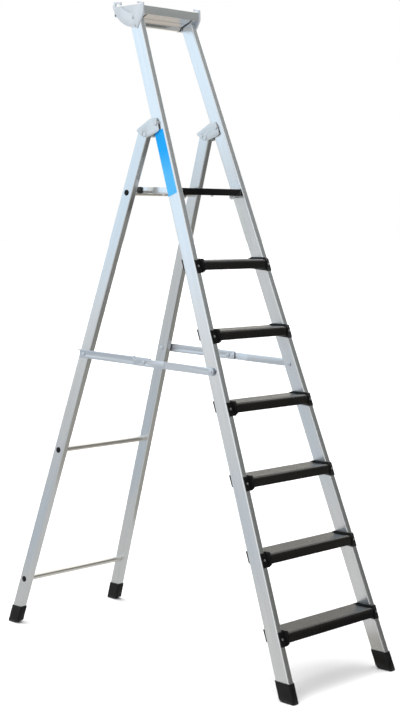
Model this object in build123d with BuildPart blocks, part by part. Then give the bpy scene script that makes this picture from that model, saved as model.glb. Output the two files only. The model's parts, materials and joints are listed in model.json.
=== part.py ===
from build123d import *
from math import atan2, cos, degrees, radians, sin, sqrt, tan
import os

# One-sided stepladder with platform and tool tray, in millimetres.
# +X is the climber's right, the climber stands at -Y, +Z is up.
# The origin is on the floor, under the middle of the ladder's box.

# Lean of the frames and their splay towards the floor
FRONT_LEAN = 69.85
REAR_LEAN = 71.55
FRONT_SPLAY = 0.05
REAR_SPLAY = 0.05
FRONT_HALF = 263.5

# Front stiles
STILE_DEPTH = 55.0
STILE_THICK = 24.0
STILE_WALL = 2.0
STILE_ROUND = 5.0
STILE_START = 30.0
STILE_END = 2416.0

# Rear legs
LEG_DEPTH = 49.0
LEG_THICK = 24.0
LEG_WALL = 2.0
LEG_ROUND = 4.0
LEG_START = 28.0
LEG_HEAD_DROP = 44.0
LEG_SET = 29.2
LEG_STANDOFF = 2.6

# Feet
FOOT_WALL = 3.0
FRONT_FOOT_HEIGHT = 61.0
REAR_FOOT_HEIGHT = 65.0
FOOT_HEEL = 9.0

# Treads
TREAD_COUNT = 6
TREAD_FIRST = 209.0
TREAD_PITCH = 235.0
TREAD_DEPTH = 89.0
TREAD_HEIGHT = 33.0
TREAD_NOSE = 21.0
TREAD_WALL = 3.0
TREAD_NOSE_ROUND = 12.0
TREAD_TOE_ROUND = 4.0
TREAD_BACK_ROUND = 4.0
TREAD_LIP = 8.0
FLUTE_COUNT = 9
FLUTE_PITCH = 8.0
FLUTE_WIDTH = 2.4
FLUTE_DEPTH = 0.8

# Tread brackets and their screws
BRACKET_PLATE = 9.0
BRACKET_SKIN = 3.5
BRACKET_LIP = 6.0
BRACKET_OVER = 1.2
BRACKET_NOSE = 8.0
BRACKET_FRONT_RISE = 2.0
BRACKET_FRONT_DROP = 42.0
BRACKET_BACK_DROP = 36.0
BRACKET_LEAD = 12.0
BRACKET_TAIL = 17.0
BRACKET_ROUND = 1.5
SCREW_DROP = 19.0
SCREW_RADIUS = 2.4
SCREW_HEAD_RADIUS = 4.4
SCREW_HEAD = 2.4
SCREW_LENGTH = 14.0

# Clearances
FIXED_FIT = 0.1
RUNNING_FIT = 0.05
GAP = 0.4

# Main hinge
HINGE_UP = 1996.0
HINGE_IN = 30.0
HINGE_PIN_RADIUS = 5.0
HINGE_PLATE = 3.0
HINGE_SEAT = 0.3
HINGE_INNER_GAP = 1.8
HINGE_HEAD_RADIUS = 8.5
HINGE_HEAD = 3.0
HINGE_ROUND = 5.0
HINGE_OUTLINE = ((-18, -26), (-8, 5), (2, 20), (29, 16), (100, -21), (63, -47), (43, -48), (-5, -34))
LEG_RIVET_DROP = 53.0
LEG_RIVET_INS = (10.0, 28.0)
LEG_RIVET_RADIUS = 3.0
LEG_RIVET_PAD = 7.0
BUFFER_LOW = 36.0
BUFFER_HIGH = 20.0
BUFFER_THICK = 7.0
BUFFER_INSET = 1.5

# Rear rungs and plugs
RUNG_UPS = (172.0, 700.0)
TOP_RUNG_DROP = 274.2
RUNG_NAMES = ("bottom", "middle", "top")
RUNG_IN = 26.0
RUNG_RADIUS = 10.0
RUNG_WALL = 1.5
RUNG_INSET = 1.2
PLUG_RADIUS = 10.6
PLUG_HEAD = 1.6
PLUG_STEM = 15.0

# Platform
PLATFORM_THICK = 24.0
PLATFORM_CLEAR = 28.2
PLATFORM_SETBACK = 9.0
PLATFORM_SIT = 22.0
PLATFORM_PITCH = 2.0
PLATFORM_SKIN = 3.0
PLATFORM_RIB = 12.0
PLATFORM_RIB_COUNT = 5
PLATFORM_FLUTE_COUNT = 24
NOSING_THICK = 8.0
NOSING_CLEAR = 4.2
NOSING_ROUND = 3.0
SIDE_PLATE = 4.0
PIVOT_DROP = 25.0
PIVOT_IN = 30.0
PIVOT_RADIUS = 4.0
PIVOT_LOBE = 12.0
PIVOT_HEAD_RADIUS = 6.2
PIVOT_HEAD = 3.4
PIVOT_COLLAR_RADIUS = 7.0
PIVOT_TAIL = 4.0
BOSS_BACK = 100.0
BOSS_RADIUS = 6.0
HOOK_WIDTH = 9.0
HOOK_WALL = 5.0
HOOK_LEAN = 26.0
HOOK_LAP = 4.0

# Spreader struts
STRUT_STILE_UP = 1091.0
STRUT_STILE_IN = 30.0
STRUT_LEG_UP = 1081.0
STRUT_LEG_IN = 25.0
STRUT_HEIGHT = 26.0
STRUT_PLATE = 2.5
STRUT_TAIL = 53.0
STRUT_CREASE = 228.0
STRUT_CREASE_RUN = 8.0
STRUT_STEP = 1.2
STRUT_STOP = 6.0
STRUT_STOP_PLATE = 2.0
REAR_STRUT_PLATE = 2.0
REAR_STRUT_RISE = 4.0
REAR_STRUT_RIB = 1.4
REAR_STRUT_TIP = 32.0
REAR_STRUT_END = 19.0
REAR_STRUT_EAR = 9.0
REAR_STRUT_GAP = 2.1
RIVET_RADIUS = 4.0
RIVET_HEAD_RADIUS = 7.5
RIVET_HEAD = 2.0

# Tool tray
TRAY_RISE = 24.0
TRAY_LEAD = 26.4
RAIL_HEIGHT = 31.0
RAIL_THICK = 12.0
RAIL_WALL = 2.0
RAIL_ROUND = 3.0
TRAY_DEPTH = 153.0
TROUGH_WALL = 2.5
TROUGH_DROP = 66.0
TROUGH_FLOOR_FRONT = 72.0
TROUGH_FLOOR_BACK = 92.0
TROUGH_ROUND = 8.0
TROUGH_LEDGE = 13.0
TROUGH_LEDGE_RUN = 5.0
TROUGH_BEAD = 1.5
TROUGH_GAP = 3.2
CAP_PLATE = 5.0
CAP_FRONT_OUTLINE = ((56, -76), (28, -82), (-2, -29), (-1, 9), (29, 16), (29, 8), (24, 8), (24, 10), (8, 6), (9, 4))
CAP_BACK_OUTLINE = ((-8, 6), (-10, 16), (-31, 15), (-31, 10), (-37, 10), (-37, 21), (-2, 24), (5, 6))
CAP_BULGE = 17.0
CAP_GROOVE_ENDS = ((110, 2), (53, -23))
CAP_GROOVE_SAG = 6.0
CAP_GROOVE = 3.0
CAP_GROOVE_DEPTH = 1.6
CAP_RIVET_DROPS = (40.0, 9.0)
CAP_RIVET_RADIUS = 2.5
CAP_RIVET_HEAD_RADIUS = 4.5
CAP_RIVET_HEAD = 1.5

# Directions up and through each frame
FRONT_TURN = radians(FRONT_LEAN)
REAR_TURN = radians(REAR_LEAN)
FRONT_UP = Vector(0, cos(FRONT_TURN), sin(FRONT_TURN))
FRONT_IN = Vector(0, sin(FRONT_TURN), -cos(FRONT_TURN))
REAR_UP = Vector(0, -cos(REAR_TURN), sin(REAR_TURN))
REAR_IN = Vector(0, sin(REAR_TURN), cos(REAR_TURN))

# The legs hang on the hinge, so its place gives how far the feet stand apart
hinge_rise = FRONT_UP * HINGE_UP + FRONT_IN * HINGE_IN
FOOT_SPREAD = hinge_rise.Y + (hinge_rise.Z * cos(REAR_TURN) + LEG_SET) / sin(REAR_TURN)

# The feet are the ends of the ladder's box, so they place the frames
BOX_FRONT = -FOOT_WALL / sin(FRONT_TURN)
BOX_BACK = FOOT_SPREAD + (LEG_DEPTH + FOOT_WALL) / sin(REAR_TURN)
FRONT_Y = -(BOX_FRONT + BOX_BACK) / 2
REAR_Y = FRONT_Y + FOOT_SPREAD
SIDES = {"left": -1, "right": 1}


def front_at(up, back, x=0.0):
    """Point on the front frame: up the stile and back from its front face."""
    return Vector(x, FRONT_Y, 0) + FRONT_UP * up + FRONT_IN * back


def rear_at(up, back, x=0.0):
    """Point on the rear frame: up the leg and back from its front face."""
    return Vector(x, REAR_Y, 0) + REAR_UP * up + REAR_IN * back


def flat(point):
    """Side-view pair of a point."""
    return (point.Y, point.Z)


def front_line(z, back=0.0):
    """Side-view point at height z on the plane that lies back from the stiles' front face."""
    up = (z + back * cos(FRONT_TURN)) / sin(FRONT_TURN)
    return flat(front_at(up, back))


def front_up(y, z):
    """Distance up the stile of a side-view point."""
    return (y - FRONT_Y) * cos(FRONT_TURN) + z * sin(FRONT_TURN)


HINGE = front_at(HINGE_UP, HINGE_IN)
LEG_HINGE_UP = (HINGE - Vector(0, REAR_Y, 0)).dot(REAR_UP)
LEG_END = LEG_HINGE_UP - LEG_HEAD_DROP
# The top rung carries the platform under the hinge, and the others stand up from the floor
rung_ups = (*RUNG_UPS, LEG_HINGE_UP - TOP_RUNG_DROP)


def stile_outer(up):
    """Half width over the stiles' outer faces."""
    return FRONT_HALF - FRONT_SPLAY * up


def stile_inner(up):
    """Half width between the stiles' inner faces."""
    return stile_outer(up) - STILE_THICK * sqrt(1 + FRONT_SPLAY**2)


def leg_outer(up):
    """Half width over the legs' outer faces, which stand out a little from the stiles at the hinge."""
    return stile_outer(HINGE_UP) + LEG_STANDOFF + REAR_SPLAY * (LEG_HINGE_UP - up)


def leg_inner(up):
    """Half width between the legs' inner faces."""
    return leg_outer(up) - LEG_THICK * sqrt(1 + REAR_SPLAY**2)


def span(side, near, far):
    """Low and high x of a stretch that is given by its distances from the middle."""
    return (near, far) if side > 0 else (-far, -near)


def slab(points, rounding, low, high):
    """Side-view outline with rounded corners, drawn out along x."""
    with BuildPart() as piece:
        with BuildSketch(Plane.YZ.offset(low)) as face:
            with BuildLine():
                Polyline(*points, close=True)
            make_face()
            if rounding:
                fillet(face.vertices(), rounding)
        extrude(amount=high - low)
    return piece.part


def rod(centre, radius, low, high):
    """Round bar along x through a side-view point."""
    with BuildPart() as piece:
        with BuildSketch(Plane.YZ.offset(low)):
            with Locations(centre):
                Circle(radius)
        extrude(amount=high - low)
    return piece.part


def stepped_pin(side, centre, steps):
    """Pin along x made of stretches, each with its distances from the middle and its radius."""
    with BuildPart() as piece:
        for near, far, radius in steps:
            low, high = span(side, near, far)
            with BuildSketch(Plane.YZ.offset(low)):
                with Locations(centre):
                    Circle(radius)
            extrude(amount=high - low)
    return piece.part


def bar(plane, depth, thick, rounding, start, end):
    """Rounded bar along the plane's normal."""
    with BuildPart() as piece:
        with BuildSketch(plane.offset(start)):
            RectangleRounded(depth, thick, rounding)
        extrude(amount=end - start)
    return piece.part


def keep(part, name):
    """Labels a finished piece and writes it."""
    part.label = name
    export_step(part, f"parts/{name}.step")


os.makedirs("parts", exist_ok=True)


def stile_plane(side):
    """Plane square to a stile, at its middle on the floor end."""
    middle = front_at(0, STILE_DEPTH / 2, side * (stile_outer(0) + stile_inner(0)) / 2)
    return Plane(middle, x_dir=FRONT_IN, z_dir=FRONT_UP - Vector(side * FRONT_SPLAY, 0, 0))


def leg_plane(side):
    """Plane square to a leg, at its middle on the floor end."""
    middle = rear_at(0, LEG_DEPTH / 2, side * (leg_outer(0) + leg_inner(0)) / 2)
    return Plane(middle, x_dir=REAR_IN, z_dir=REAR_UP - Vector(side * REAR_SPLAY, 0, 0))


stile_solid = {}
leg_solid = {}
for name, side in SIDES.items():
    stile_solid[name] = bar(stile_plane(side), STILE_DEPTH, STILE_THICK, STILE_ROUND, STILE_START, STILE_END)
    leg_solid[name] = bar(leg_plane(side), LEG_DEPTH, LEG_THICK, LEG_ROUND, LEG_START, LEG_END)

# Heights and places of the treads
tread_tops = [TREAD_FIRST + TREAD_PITCH * i for i in range(TREAD_COUNT)]


def tread_front(top):
    """Y of a tread's nose."""
    return front_line(top)[0] - TREAD_NOSE


def bracket_face(top):
    """Half width between the two brackets of a tread, where the tread ends."""
    corner = front_line(top + BRACKET_LIP, STILE_DEPTH + BRACKET_SKIN)
    return stile_inner(front_up(*corner)) - BRACKET_PLATE


def screw_plane(side, top):
    """Plane of a bracket screw, on the bracket's front skin, looking back into the stile."""
    y, z = front_line(top - SCREW_DROP, -BRACKET_SKIN)
    up = front_up(y, z)
    return Plane(
        (side * (stile_outer(up) + stile_inner(up)) / 2, y, z), x_dir=(1, 0, 0), z_dir=FRONT_IN
    )


# The platform's hooks sit on the top rung, its nosing lies behind the stiles' front, and it rises a little to the back
top_rung = rear_at(rung_ups[-1], RUNG_IN)
pitch = radians(PLATFORM_PITCH)
platform_half_thick = PLATFORM_THICK / 2
nosing_base = front_line(0)[0] + PLATFORM_SETBACK
rung_lift = top_rung.Z * cos(pitch) - (top_rung.Y - nosing_base) * sin(pitch)
nosing_mid = (rung_lift + PLATFORM_SIT - platform_half_thick) / (cos(pitch) - sin(pitch) / tan(FRONT_TURN))
nosing_front = front_line(nosing_mid)[0] + PLATFORM_SETBACK
platform_plane = Plane((0, nosing_front, nosing_mid), x_dir=(0, cos(pitch), sin(pitch)), z_dir=(1, 0, 0))


def deck_at(depth, rise):
    """Side-view point of the platform: back from its nosing and up from its middle."""
    return flat(platform_plane.from_local_coords(Vector(depth, rise, 0)))


def deck_outline(corners):
    """Side-view points of an outline drawn on the platform."""
    return [deck_at(depth, rise) for depth, rise in corners]


# The platform turns about a pivot in the stiles
platform_top = deck_at(0, platform_half_thick)[1]
PIVOT = Vector(0, *front_line(platform_top - PIVOT_DROP, PIVOT_IN))
PIVOT_UP = front_up(PIVOT.Y, PIVOT.Z)
side_out = stile_inner(PIVOT_UP) - PLATFORM_CLEAR
platform_half = side_out - SIDE_PLATE
nosing_half = stile_inner(PIVOT_UP) - NOSING_CLEAR

# The tray sits on the stiles' upper ends
stile_top = front_at(STILE_END, 0)
TRAY_TOP = stile_top.Z + TRAY_RISE
tray_front = stile_top.Y - TRAY_LEAD
tray_back = tray_front + TRAY_DEPTH
cap_rivet_ups = [STILE_END - drop for drop in CAP_RIVET_DROPS]

# Spreader pivots seen from the side
STRUT_FRONT = front_at(STRUT_STILE_UP, STRUT_STILE_IN)
STRUT_BACK = rear_at(STRUT_LEG_UP, STRUT_LEG_IN)
strut_line = STRUT_BACK - STRUT_FRONT
STRUT_MIDDLE = STRUT_FRONT + strut_line * 0.5
STRUT_RUN = strut_line.length / 2
strut_plane = Plane(STRUT_FRONT, x_dir=strut_line, z_dir=(1, 0, 0))


# Left and right stiles, hollow, with the holes of everything that they carry
for name, side in SIDES.items():
    core = bar(
        stile_plane(side),
        STILE_DEPTH - 2 * STILE_WALL,
        STILE_THICK - 2 * STILE_WALL,
        STILE_ROUND - STILE_WALL,
        STILE_START - STILE_WALL,
        STILE_END + STILE_WALL,
    )
    holes = [
        rod(
            flat(HINGE),
            HINGE_PIN_RADIUS + FIXED_FIT,
            *span(side, stile_inner(HINGE_UP) - STILE_THICK, stile_outer(HINGE_UP) + STILE_THICK),
        ),
        rod(
            flat(PIVOT),
            PIVOT_RADIUS + FIXED_FIT,
            *span(side, stile_inner(PIVOT_UP) - STILE_THICK, stile_inner(PIVOT_UP) + STILE_THICK / 2),
        ),
        rod(
            flat(STRUT_FRONT),
            RIVET_RADIUS + FIXED_FIT,
            *span(side, stile_inner(STRUT_STILE_UP) - STILE_THICK, stile_outer(STRUT_STILE_UP) + STILE_THICK),
        ),
    ]
    for up in cap_rivet_ups:
        centre = flat(front_at(up, STILE_DEPTH / 2))
        reach = span(side, stile_outer(up) - STILE_THICK / 2, stile_outer(up) + STILE_THICK)
        holes.append(rod(centre, CAP_RIVET_RADIUS + FIXED_FIT, *reach))
    with BuildPart() as stile:
        add(stile_solid[name])
        add(core, mode=Mode.SUBTRACT)
        add(holes, mode=Mode.SUBTRACT)
        for top in tread_tops:
            with BuildSketch(screw_plane(side, top)):
                Circle(SCREW_RADIUS + FIXED_FIT)
            extrude(amount=SCREW_LENGTH, mode=Mode.SUBTRACT)
    keep(stile.part, f"{name}_stile")


def foot(plane, depth, thick, rounding, height, inner, heel_plane):
    """Boot round the end of a stile or leg, flat on the floor, with its heel cut away."""
    with BuildPart() as piece:
        with BuildSketch(plane.offset(-2 * height)):
            RectangleRounded(depth + 2 * FOOT_WALL, thick + 2 * FOOT_WALL, rounding + FOOT_WALL)
        extrude(amount=4 * height)
        split(bisect_by=Plane.XY, keep=Keep.TOP)
        split(bisect_by=Plane.XY.offset(height), keep=Keep.BOTTOM)
        split(bisect_by=heel_plane, keep=Keep.TOP)
        add(inner, mode=Mode.SUBTRACT)
    return piece.part


# The heel of a front foot is cut on its inner side, under the ladder, and of a rear foot on its outer front
front_heel = Vector(0, FRONT_Y + (STILE_DEPTH + FOOT_WALL) / sin(FRONT_TURN), FOOT_HEEL)
front_heel_plane = Plane(front_heel, x_dir=(1, 0, 0), z_dir=(0, -1, 1.8))
rear_heel = Vector(0, REAR_Y - FOOT_WALL / sin(REAR_TURN), FOOT_HEEL)
rear_heel_plane = Plane(rear_heel, x_dir=(1, 0, 0), z_dir=(0, 1, 1.8))
for name, side in SIDES.items():
    front_foot = foot(
        stile_plane(side),
        STILE_DEPTH,
        STILE_THICK,
        STILE_ROUND,
        FRONT_FOOT_HEIGHT,
        stile_solid[name],
        front_heel_plane,
    )
    keep(front_foot, f"front_foot_{name}")
    rear_foot = foot(
        leg_plane(side),
        LEG_DEPTH,
        LEG_THICK,
        LEG_ROUND,
        REAR_FOOT_HEIGHT,
        leg_solid[name],
        rear_heel_plane,
    )
    keep(rear_foot, f"rear_foot_{name}")

# Treads: a channel with a closed top, fluted, with lips turned in under it
for number, top in enumerate(tread_tops, 1):
    face = bracket_face(top)
    nose = tread_front(top)
    with BuildPart() as tread:
        with BuildSketch(Plane.YZ.offset(-face)) as profile:
            with Locations((nose + TREAD_DEPTH / 2, top - TREAD_HEIGHT / 2)):
                Rectangle(TREAD_DEPTH, TREAD_HEIGHT)
            upper = profile.vertices().group_by(Axis.Y)[-1]
            fillet(upper.sort_by(Axis.X)[0], TREAD_NOSE_ROUND)
            fillet(profile.vertices().group_by(Axis.Y)[-1].sort_by(Axis.X)[-1], TREAD_BACK_ROUND)
            fillet(profile.vertices().group_by(Axis.Y)[0].sort_by(Axis.X)[0], TREAD_TOE_ROUND)
            offset(profile.face(), amount=-TREAD_WALL, mode=Mode.SUBTRACT)
            with Locations((nose + TREAD_DEPTH / 2, top - TREAD_HEIGHT + TREAD_WALL / 2)):
                Rectangle(TREAD_DEPTH - 2 * (TREAD_WALL + TREAD_LIP), 2 * TREAD_WALL, mode=Mode.SUBTRACT)
            with Locations((nose + (TREAD_DEPTH + TREAD_NOSE_ROUND - TREAD_BACK_ROUND) / 2, top)):
                with GridLocations(FLUTE_PITCH, 1, FLUTE_COUNT, 1):
                    Rectangle(FLUTE_WIDTH, 2 * FLUTE_DEPTH, mode=Mode.SUBTRACT)
        extrude(amount=2 * face)
    keep(tread.part, f"tread_{number}")

# Brackets: a saddle round the stile and an end plate that closes the tread, with a lip above it and a taper below
for number, top in enumerate(tread_tops, 1):
    face = bracket_face(top)
    nose = tread_front(top)
    back = nose + TREAD_DEPTH
    saddle_points = [
        front_line(top + BRACKET_FRONT_RISE, -BRACKET_SKIN),
        front_line(top + BRACKET_FRONT_RISE, STILE_DEPTH + BRACKET_SKIN),
        front_line(top - BRACKET_BACK_DROP, STILE_DEPTH + BRACKET_SKIN),
        front_line(top - BRACKET_FRONT_DROP, -BRACKET_SKIN),
    ]
    plate_points = [
        (nose - BRACKET_OVER, top - TREAD_HEIGHT - BRACKET_OVER),
        (nose - BRACKET_OVER, top - BRACKET_NOSE),
        (front_line(top)[0] - BRACKET_LEAD, top + BRACKET_LIP),
        (back - BRACKET_TAIL, top + BRACKET_LIP),
        (back + BRACKET_OVER, top - BRACKET_OVER),
        (back + BRACKET_OVER, top - TREAD_HEIGHT - BRACKET_OVER),
        front_line(top - BRACKET_BACK_DROP, STILE_DEPTH + BRACKET_SKIN),
        front_line(top - BRACKET_FRONT_DROP, -BRACKET_SKIN),
    ]
    # A strut rivet that comes near a bracket has room for its head there
    rivet_room = rod(flat(STRUT_FRONT), RIVET_HEAD_RADIUS + GAP, -stile_outer(0), stile_outer(0))
    corner_up = front_up(*front_line(top + BRACKET_FRONT_RISE, STILE_DEPTH + BRACKET_SKIN))
    saddle_out = stile_outer(corner_up) - GAP
    halves = []
    for name, side in SIDES.items():
        saddle = slab(saddle_points, BRACKET_ROUND, *span(side, face, saddle_out))
        plate = slab(plate_points, BRACKET_ROUND, *span(side, face, face + BRACKET_PLATE))
        with BuildPart() as half:
            add(saddle)
            add(plate)
            with BuildSketch(Plane((0, nose, 0), x_dir=(1, 0, 0), z_dir=(0, -1, 0))):
                with BuildLine():
                    Polyline(
                        (side * face, top - TREAD_HEIGHT - BRACKET_OVER),
                        (side * (face + BRACKET_PLATE), top - BRACKET_FRONT_DROP),
                        (side * face, top - BRACKET_FRONT_DROP),
                        close=True,
                    )
                make_face()
            extrude(amount=2 * TREAD_DEPTH, both=True, mode=Mode.SUBTRACT)
            add(stile_solid[name], mode=Mode.SUBTRACT)
            add(rivet_room, mode=Mode.SUBTRACT)
            with BuildSketch(screw_plane(side, top)):
                Circle(SCREW_RADIUS + FIXED_FIT)
            extrude(amount=2 * BRACKET_SKIN, both=True, mode=Mode.SUBTRACT)
        halves.append(half.part)
    with BuildPart() as brackets:
        add(halves)
    keep(brackets.part, f"tread_{number}_brackets")

# Bracket screws, one group
with BuildPart() as screws:
    for top in tread_tops:
        for side in SIDES.values():
            with BuildSketch(screw_plane(side, top).offset(-SCREW_HEAD)):
                Circle(SCREW_HEAD_RADIUS)
            extrude(amount=SCREW_HEAD)
            with BuildSketch(screw_plane(side, top)):
                Circle(SCREW_RADIUS)
            extrude(amount=SCREW_LENGTH - FIXED_FIT)
keep(screws.part, "bracket_screws")

# Hinge pins, fixed in the stiles, with collars that hold the plates apart
outer_plate = leg_outer(LEG_HINGE_UP - LEG_RIVET_DROP) - HINGE_SEAT
inner_plate = stile_inner(HINGE_UP) - HINGE_INNER_GAP
collar_slack = FRONT_SPLAY * HINGE_HEAD_RADIUS + FIXED_FIT
with BuildPart() as hinge_pins:
    for side in SIDES.values():
        add(
            stepped_pin(
                side,
                flat(HINGE),
                [
                    (inner_plate - HINGE_PLATE - HINGE_HEAD, inner_plate - HINGE_PLATE - GAP, HINGE_HEAD_RADIUS),
                    (inner_plate - HINGE_PLATE - HINGE_HEAD, outer_plate + HINGE_PLATE + HINGE_HEAD, HINGE_PIN_RADIUS),
                    (inner_plate + GAP, stile_inner(HINGE_UP) - collar_slack, HINGE_HEAD_RADIUS),
                    (stile_outer(HINGE_UP) + collar_slack, outer_plate - GAP, HINGE_HEAD_RADIUS),
                    (outer_plate + HINGE_PLATE + GAP, outer_plate + HINGE_PLATE + HINGE_HEAD, HINGE_HEAD_RADIUS),
                ],
            )
        )
keep(hinge_pins.part, "hinge_pins")

# Rear legs, hollow, with holes for the rungs and rivets
leg_rivets = [rear_at(LEG_HINGE_UP - LEG_RIVET_DROP, back) for back in LEG_RIVET_INS]
for name, side in SIDES.items():
    core = bar(
        leg_plane(side),
        LEG_DEPTH - 2 * LEG_WALL,
        LEG_THICK - 2 * LEG_WALL,
        LEG_ROUND - LEG_WALL,
        LEG_START - LEG_WALL,
        LEG_END + LEG_WALL,
    )
    holes = []
    for up in rung_ups:
        reach = span(side, leg_inner(up) - LEG_THICK, leg_outer(up) + LEG_THICK)
        holes.append(rod(flat(rear_at(up, RUNG_IN)), RUNG_RADIUS + FIXED_FIT, *reach))
    rivet_up = LEG_HINGE_UP - LEG_RIVET_DROP
    for point in leg_rivets:
        reach = span(side, leg_inner(rivet_up) - LEG_THICK, leg_outer(rivet_up) + LEG_THICK)
        holes.append(rod(flat(point), LEG_RIVET_RADIUS + FIXED_FIT, *reach))
    reach = span(side, leg_inner(STRUT_LEG_UP) - LEG_THICK, leg_outer(STRUT_LEG_UP) + LEG_THICK)
    holes.append(rod(flat(STRUT_BACK), RIVET_RADIUS + FIXED_FIT, *reach))
    with BuildPart() as leg:
        add(leg_solid[name])
        add(core, mode=Mode.SUBTRACT)
        add(holes, mode=Mode.SUBTRACT)
    keep(leg.part, f"{name}_rear_leg")

# Rungs through both legs, and the plugs that close their ends
for label, up in zip(RUNG_NAMES, rung_ups):
    end = leg_outer(up) - RUNG_INSET
    with BuildPart() as rung:
        with BuildSketch(Plane.YZ.offset(-end)):
            with Locations(flat(rear_at(up, RUNG_IN))):
                Circle(RUNG_RADIUS)
                Circle(RUNG_RADIUS - RUNG_WALL, mode=Mode.SUBTRACT)
        extrude(amount=2 * end)
    keep(rung.part, f"rear_rung_{label}")
plug_parts = []
for up in rung_ups:
    centre = flat(rear_at(up, RUNG_IN))
    for name, side in SIDES.items():
        head = rod(centre, PLUG_RADIUS, *span(side, leg_outer(up) - RUNG_INSET, leg_outer(up) + PLUG_HEAD))
        stem = rod(
            centre,
            RUNG_RADIUS - RUNG_WALL - FIXED_FIT,
            *span(side, leg_outer(up) - PLUG_STEM, leg_outer(up) + PLUG_HEAD / 2),
        )
        with BuildPart() as plug:
            add(head)
            add(leg_solid[name], mode=Mode.SUBTRACT)
            add(stem)
        plug_parts.append(plug.part)
with BuildPart() as plugs:
    add(plug_parts)
keep(plugs.part, "rung_plugs")

# Hinge plates, riveted to the leg heads on both sides, with pads that take up the leg's splay
hinge_points = [(HINGE.Y + y, HINGE.Z + z) for y, z in HINGE_OUTLINE]
for name, side in SIDES.items():
    for place, near, far, pad_near, pad_far in (
        ("outer", outer_plate, outer_plate + HINGE_PLATE, leg_outer(LEG_END) - LEG_WALL, outer_plate),
        ("inner", inner_plate - HINGE_PLATE, inner_plate, inner_plate, leg_outer(LEG_END)),
    ):
        sheet = slab(hinge_points, HINGE_ROUND, *span(side, near, far))
        pads = [rod(flat(point), LEG_RIVET_PAD, *span(side, pad_near, pad_far)) for point in leg_rivets]
        holes = [rod(flat(HINGE), HINGE_PIN_RADIUS + RUNNING_FIT, *span(side, near - GAP, far + GAP))]
        for point in leg_rivets:
            reach = span(side, min(near, pad_near) - GAP, max(far, pad_far) + GAP)
            holes.append(rod(flat(point), LEG_RIVET_RADIUS + FIXED_FIT, *reach))
        with BuildPart() as plate:
            add(sheet)
            add(pads)
            add(leg_solid[name], mode=Mode.SUBTRACT)
            add(holes, mode=Mode.SUBTRACT)
        keep(plate.part, f"hinge_plate_{place}_{name}")

# Rivets through the plates and the leg heads
with BuildPart() as hinge_rivets:
    for side in SIDES.values():
        for point in leg_rivets:
            inside = inner_plate - HINGE_PLATE
            outside = outer_plate + HINGE_PLATE
            add(
                stepped_pin(
                    side,
                    flat(point),
                    [
                        (inside - RIVET_HEAD, inside, RIVET_HEAD_RADIUS),
                        (inside - RIVET_HEAD, outside + RIVET_HEAD, LEG_RIVET_RADIUS),
                        (outside, outside + RIVET_HEAD, RIVET_HEAD_RADIUS),
                    ],
                )
            )
keep(hinge_rivets.part, "hinge_rivets")

# Buffers on the stiles' rear faces, between the hinge plates, that the closing leg heads pass below
with BuildPart() as buffers:
    for side in SIDES.values():
        low, high = HINGE_UP - BUFFER_LOW, HINGE_UP - BUFFER_HIGH
        add(
            slab(
                [
                    flat(front_at(low, STILE_DEPTH)),
                    flat(front_at(low, STILE_DEPTH + BUFFER_THICK)),
                    flat(front_at(high, STILE_DEPTH + BUFFER_THICK)),
                    flat(front_at(high, STILE_DEPTH)),
                ],
                0,
                *span(side, stile_inner(low) + BUFFER_INSET, stile_outer(high) - BUFFER_INSET),
            )
        )
keep(buffers.part, "hinge_buffers")

# Platform: nosing in front, deck behind it, side plates that turn on the pivot pins, hooks over the top rung
seat_radius = RUNG_RADIUS + GAP
rung_depth = platform_plane.to_local_coords(top_rung).X
rung_rise = platform_plane.to_local_coords(top_rung).Y
pivot_depth = platform_plane.to_local_coords(PIVOT).X
deck_end = rung_depth + seat_radius + HOOK_WALL
deck_depth = deck_end - NOSING_THICK
deck_mid = NOSING_THICK + deck_depth / 2
# The rung leaves the hook downwards and forwards as the platform tilts, so the slot opens that way
hook_lean = radians(HOOK_LEAN)
slot_front = rung_depth - seat_radius * cos(hook_lean)
slot_rise = rung_rise + seat_radius * sin(hook_lean)
slot_base = -platform_half_thick - PLATFORM_SKIN
hook_start = slot_front - (slot_rise - slot_base) * tan(hook_lean)
side_end = hook_start - HOOK_LAP
rib_end = side_end - PLATFORM_SKIN
with BuildPart() as nosing:
    with BuildSketch(platform_plane.offset(-nosing_half)) as profile:
        with Locations((NOSING_THICK / 2, 0)):
            Rectangle(NOSING_THICK, PLATFORM_THICK)
        fillet(profile.vertices().group_by(Axis.X)[0], NOSING_ROUND)
    extrude(amount=2 * nosing_half)
keep(nosing.part, "platform_nosing")

with BuildPart() as deck:
    with BuildSketch(platform_plane.offset(-platform_half)):
        with Locations((deck_mid, platform_half_thick - PLATFORM_SKIN / 2)):
            Rectangle(deck_depth, PLATFORM_SKIN)
        with Locations((NOSING_THICK + PLATFORM_SKIN / 2, 0), (deck_end - PLATFORM_SKIN / 2, 0)):
            Rectangle(PLATFORM_SKIN, PLATFORM_THICK)
        with Locations(((NOSING_THICK + rib_end) / 2, platform_half_thick - PLATFORM_SKIN / 2 - PLATFORM_RIB / 2)):
            with GridLocations((rib_end - NOSING_THICK) / PLATFORM_RIB_COUNT, 1, PLATFORM_RIB_COUNT, 1):
                Rectangle(PLATFORM_SKIN, PLATFORM_RIB)
        with Locations((deck_mid, platform_half_thick)):
            with GridLocations(deck_depth / (PLATFORM_FLUTE_COUNT + 1), 1, PLATFORM_FLUTE_COUNT, 1):
                Rectangle(FLUTE_WIDTH, 2 * FLUTE_DEPTH, mode=Mode.SUBTRACT)
    extrude(amount=2 * platform_half)
keep(deck.part, "platform_deck")

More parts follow.
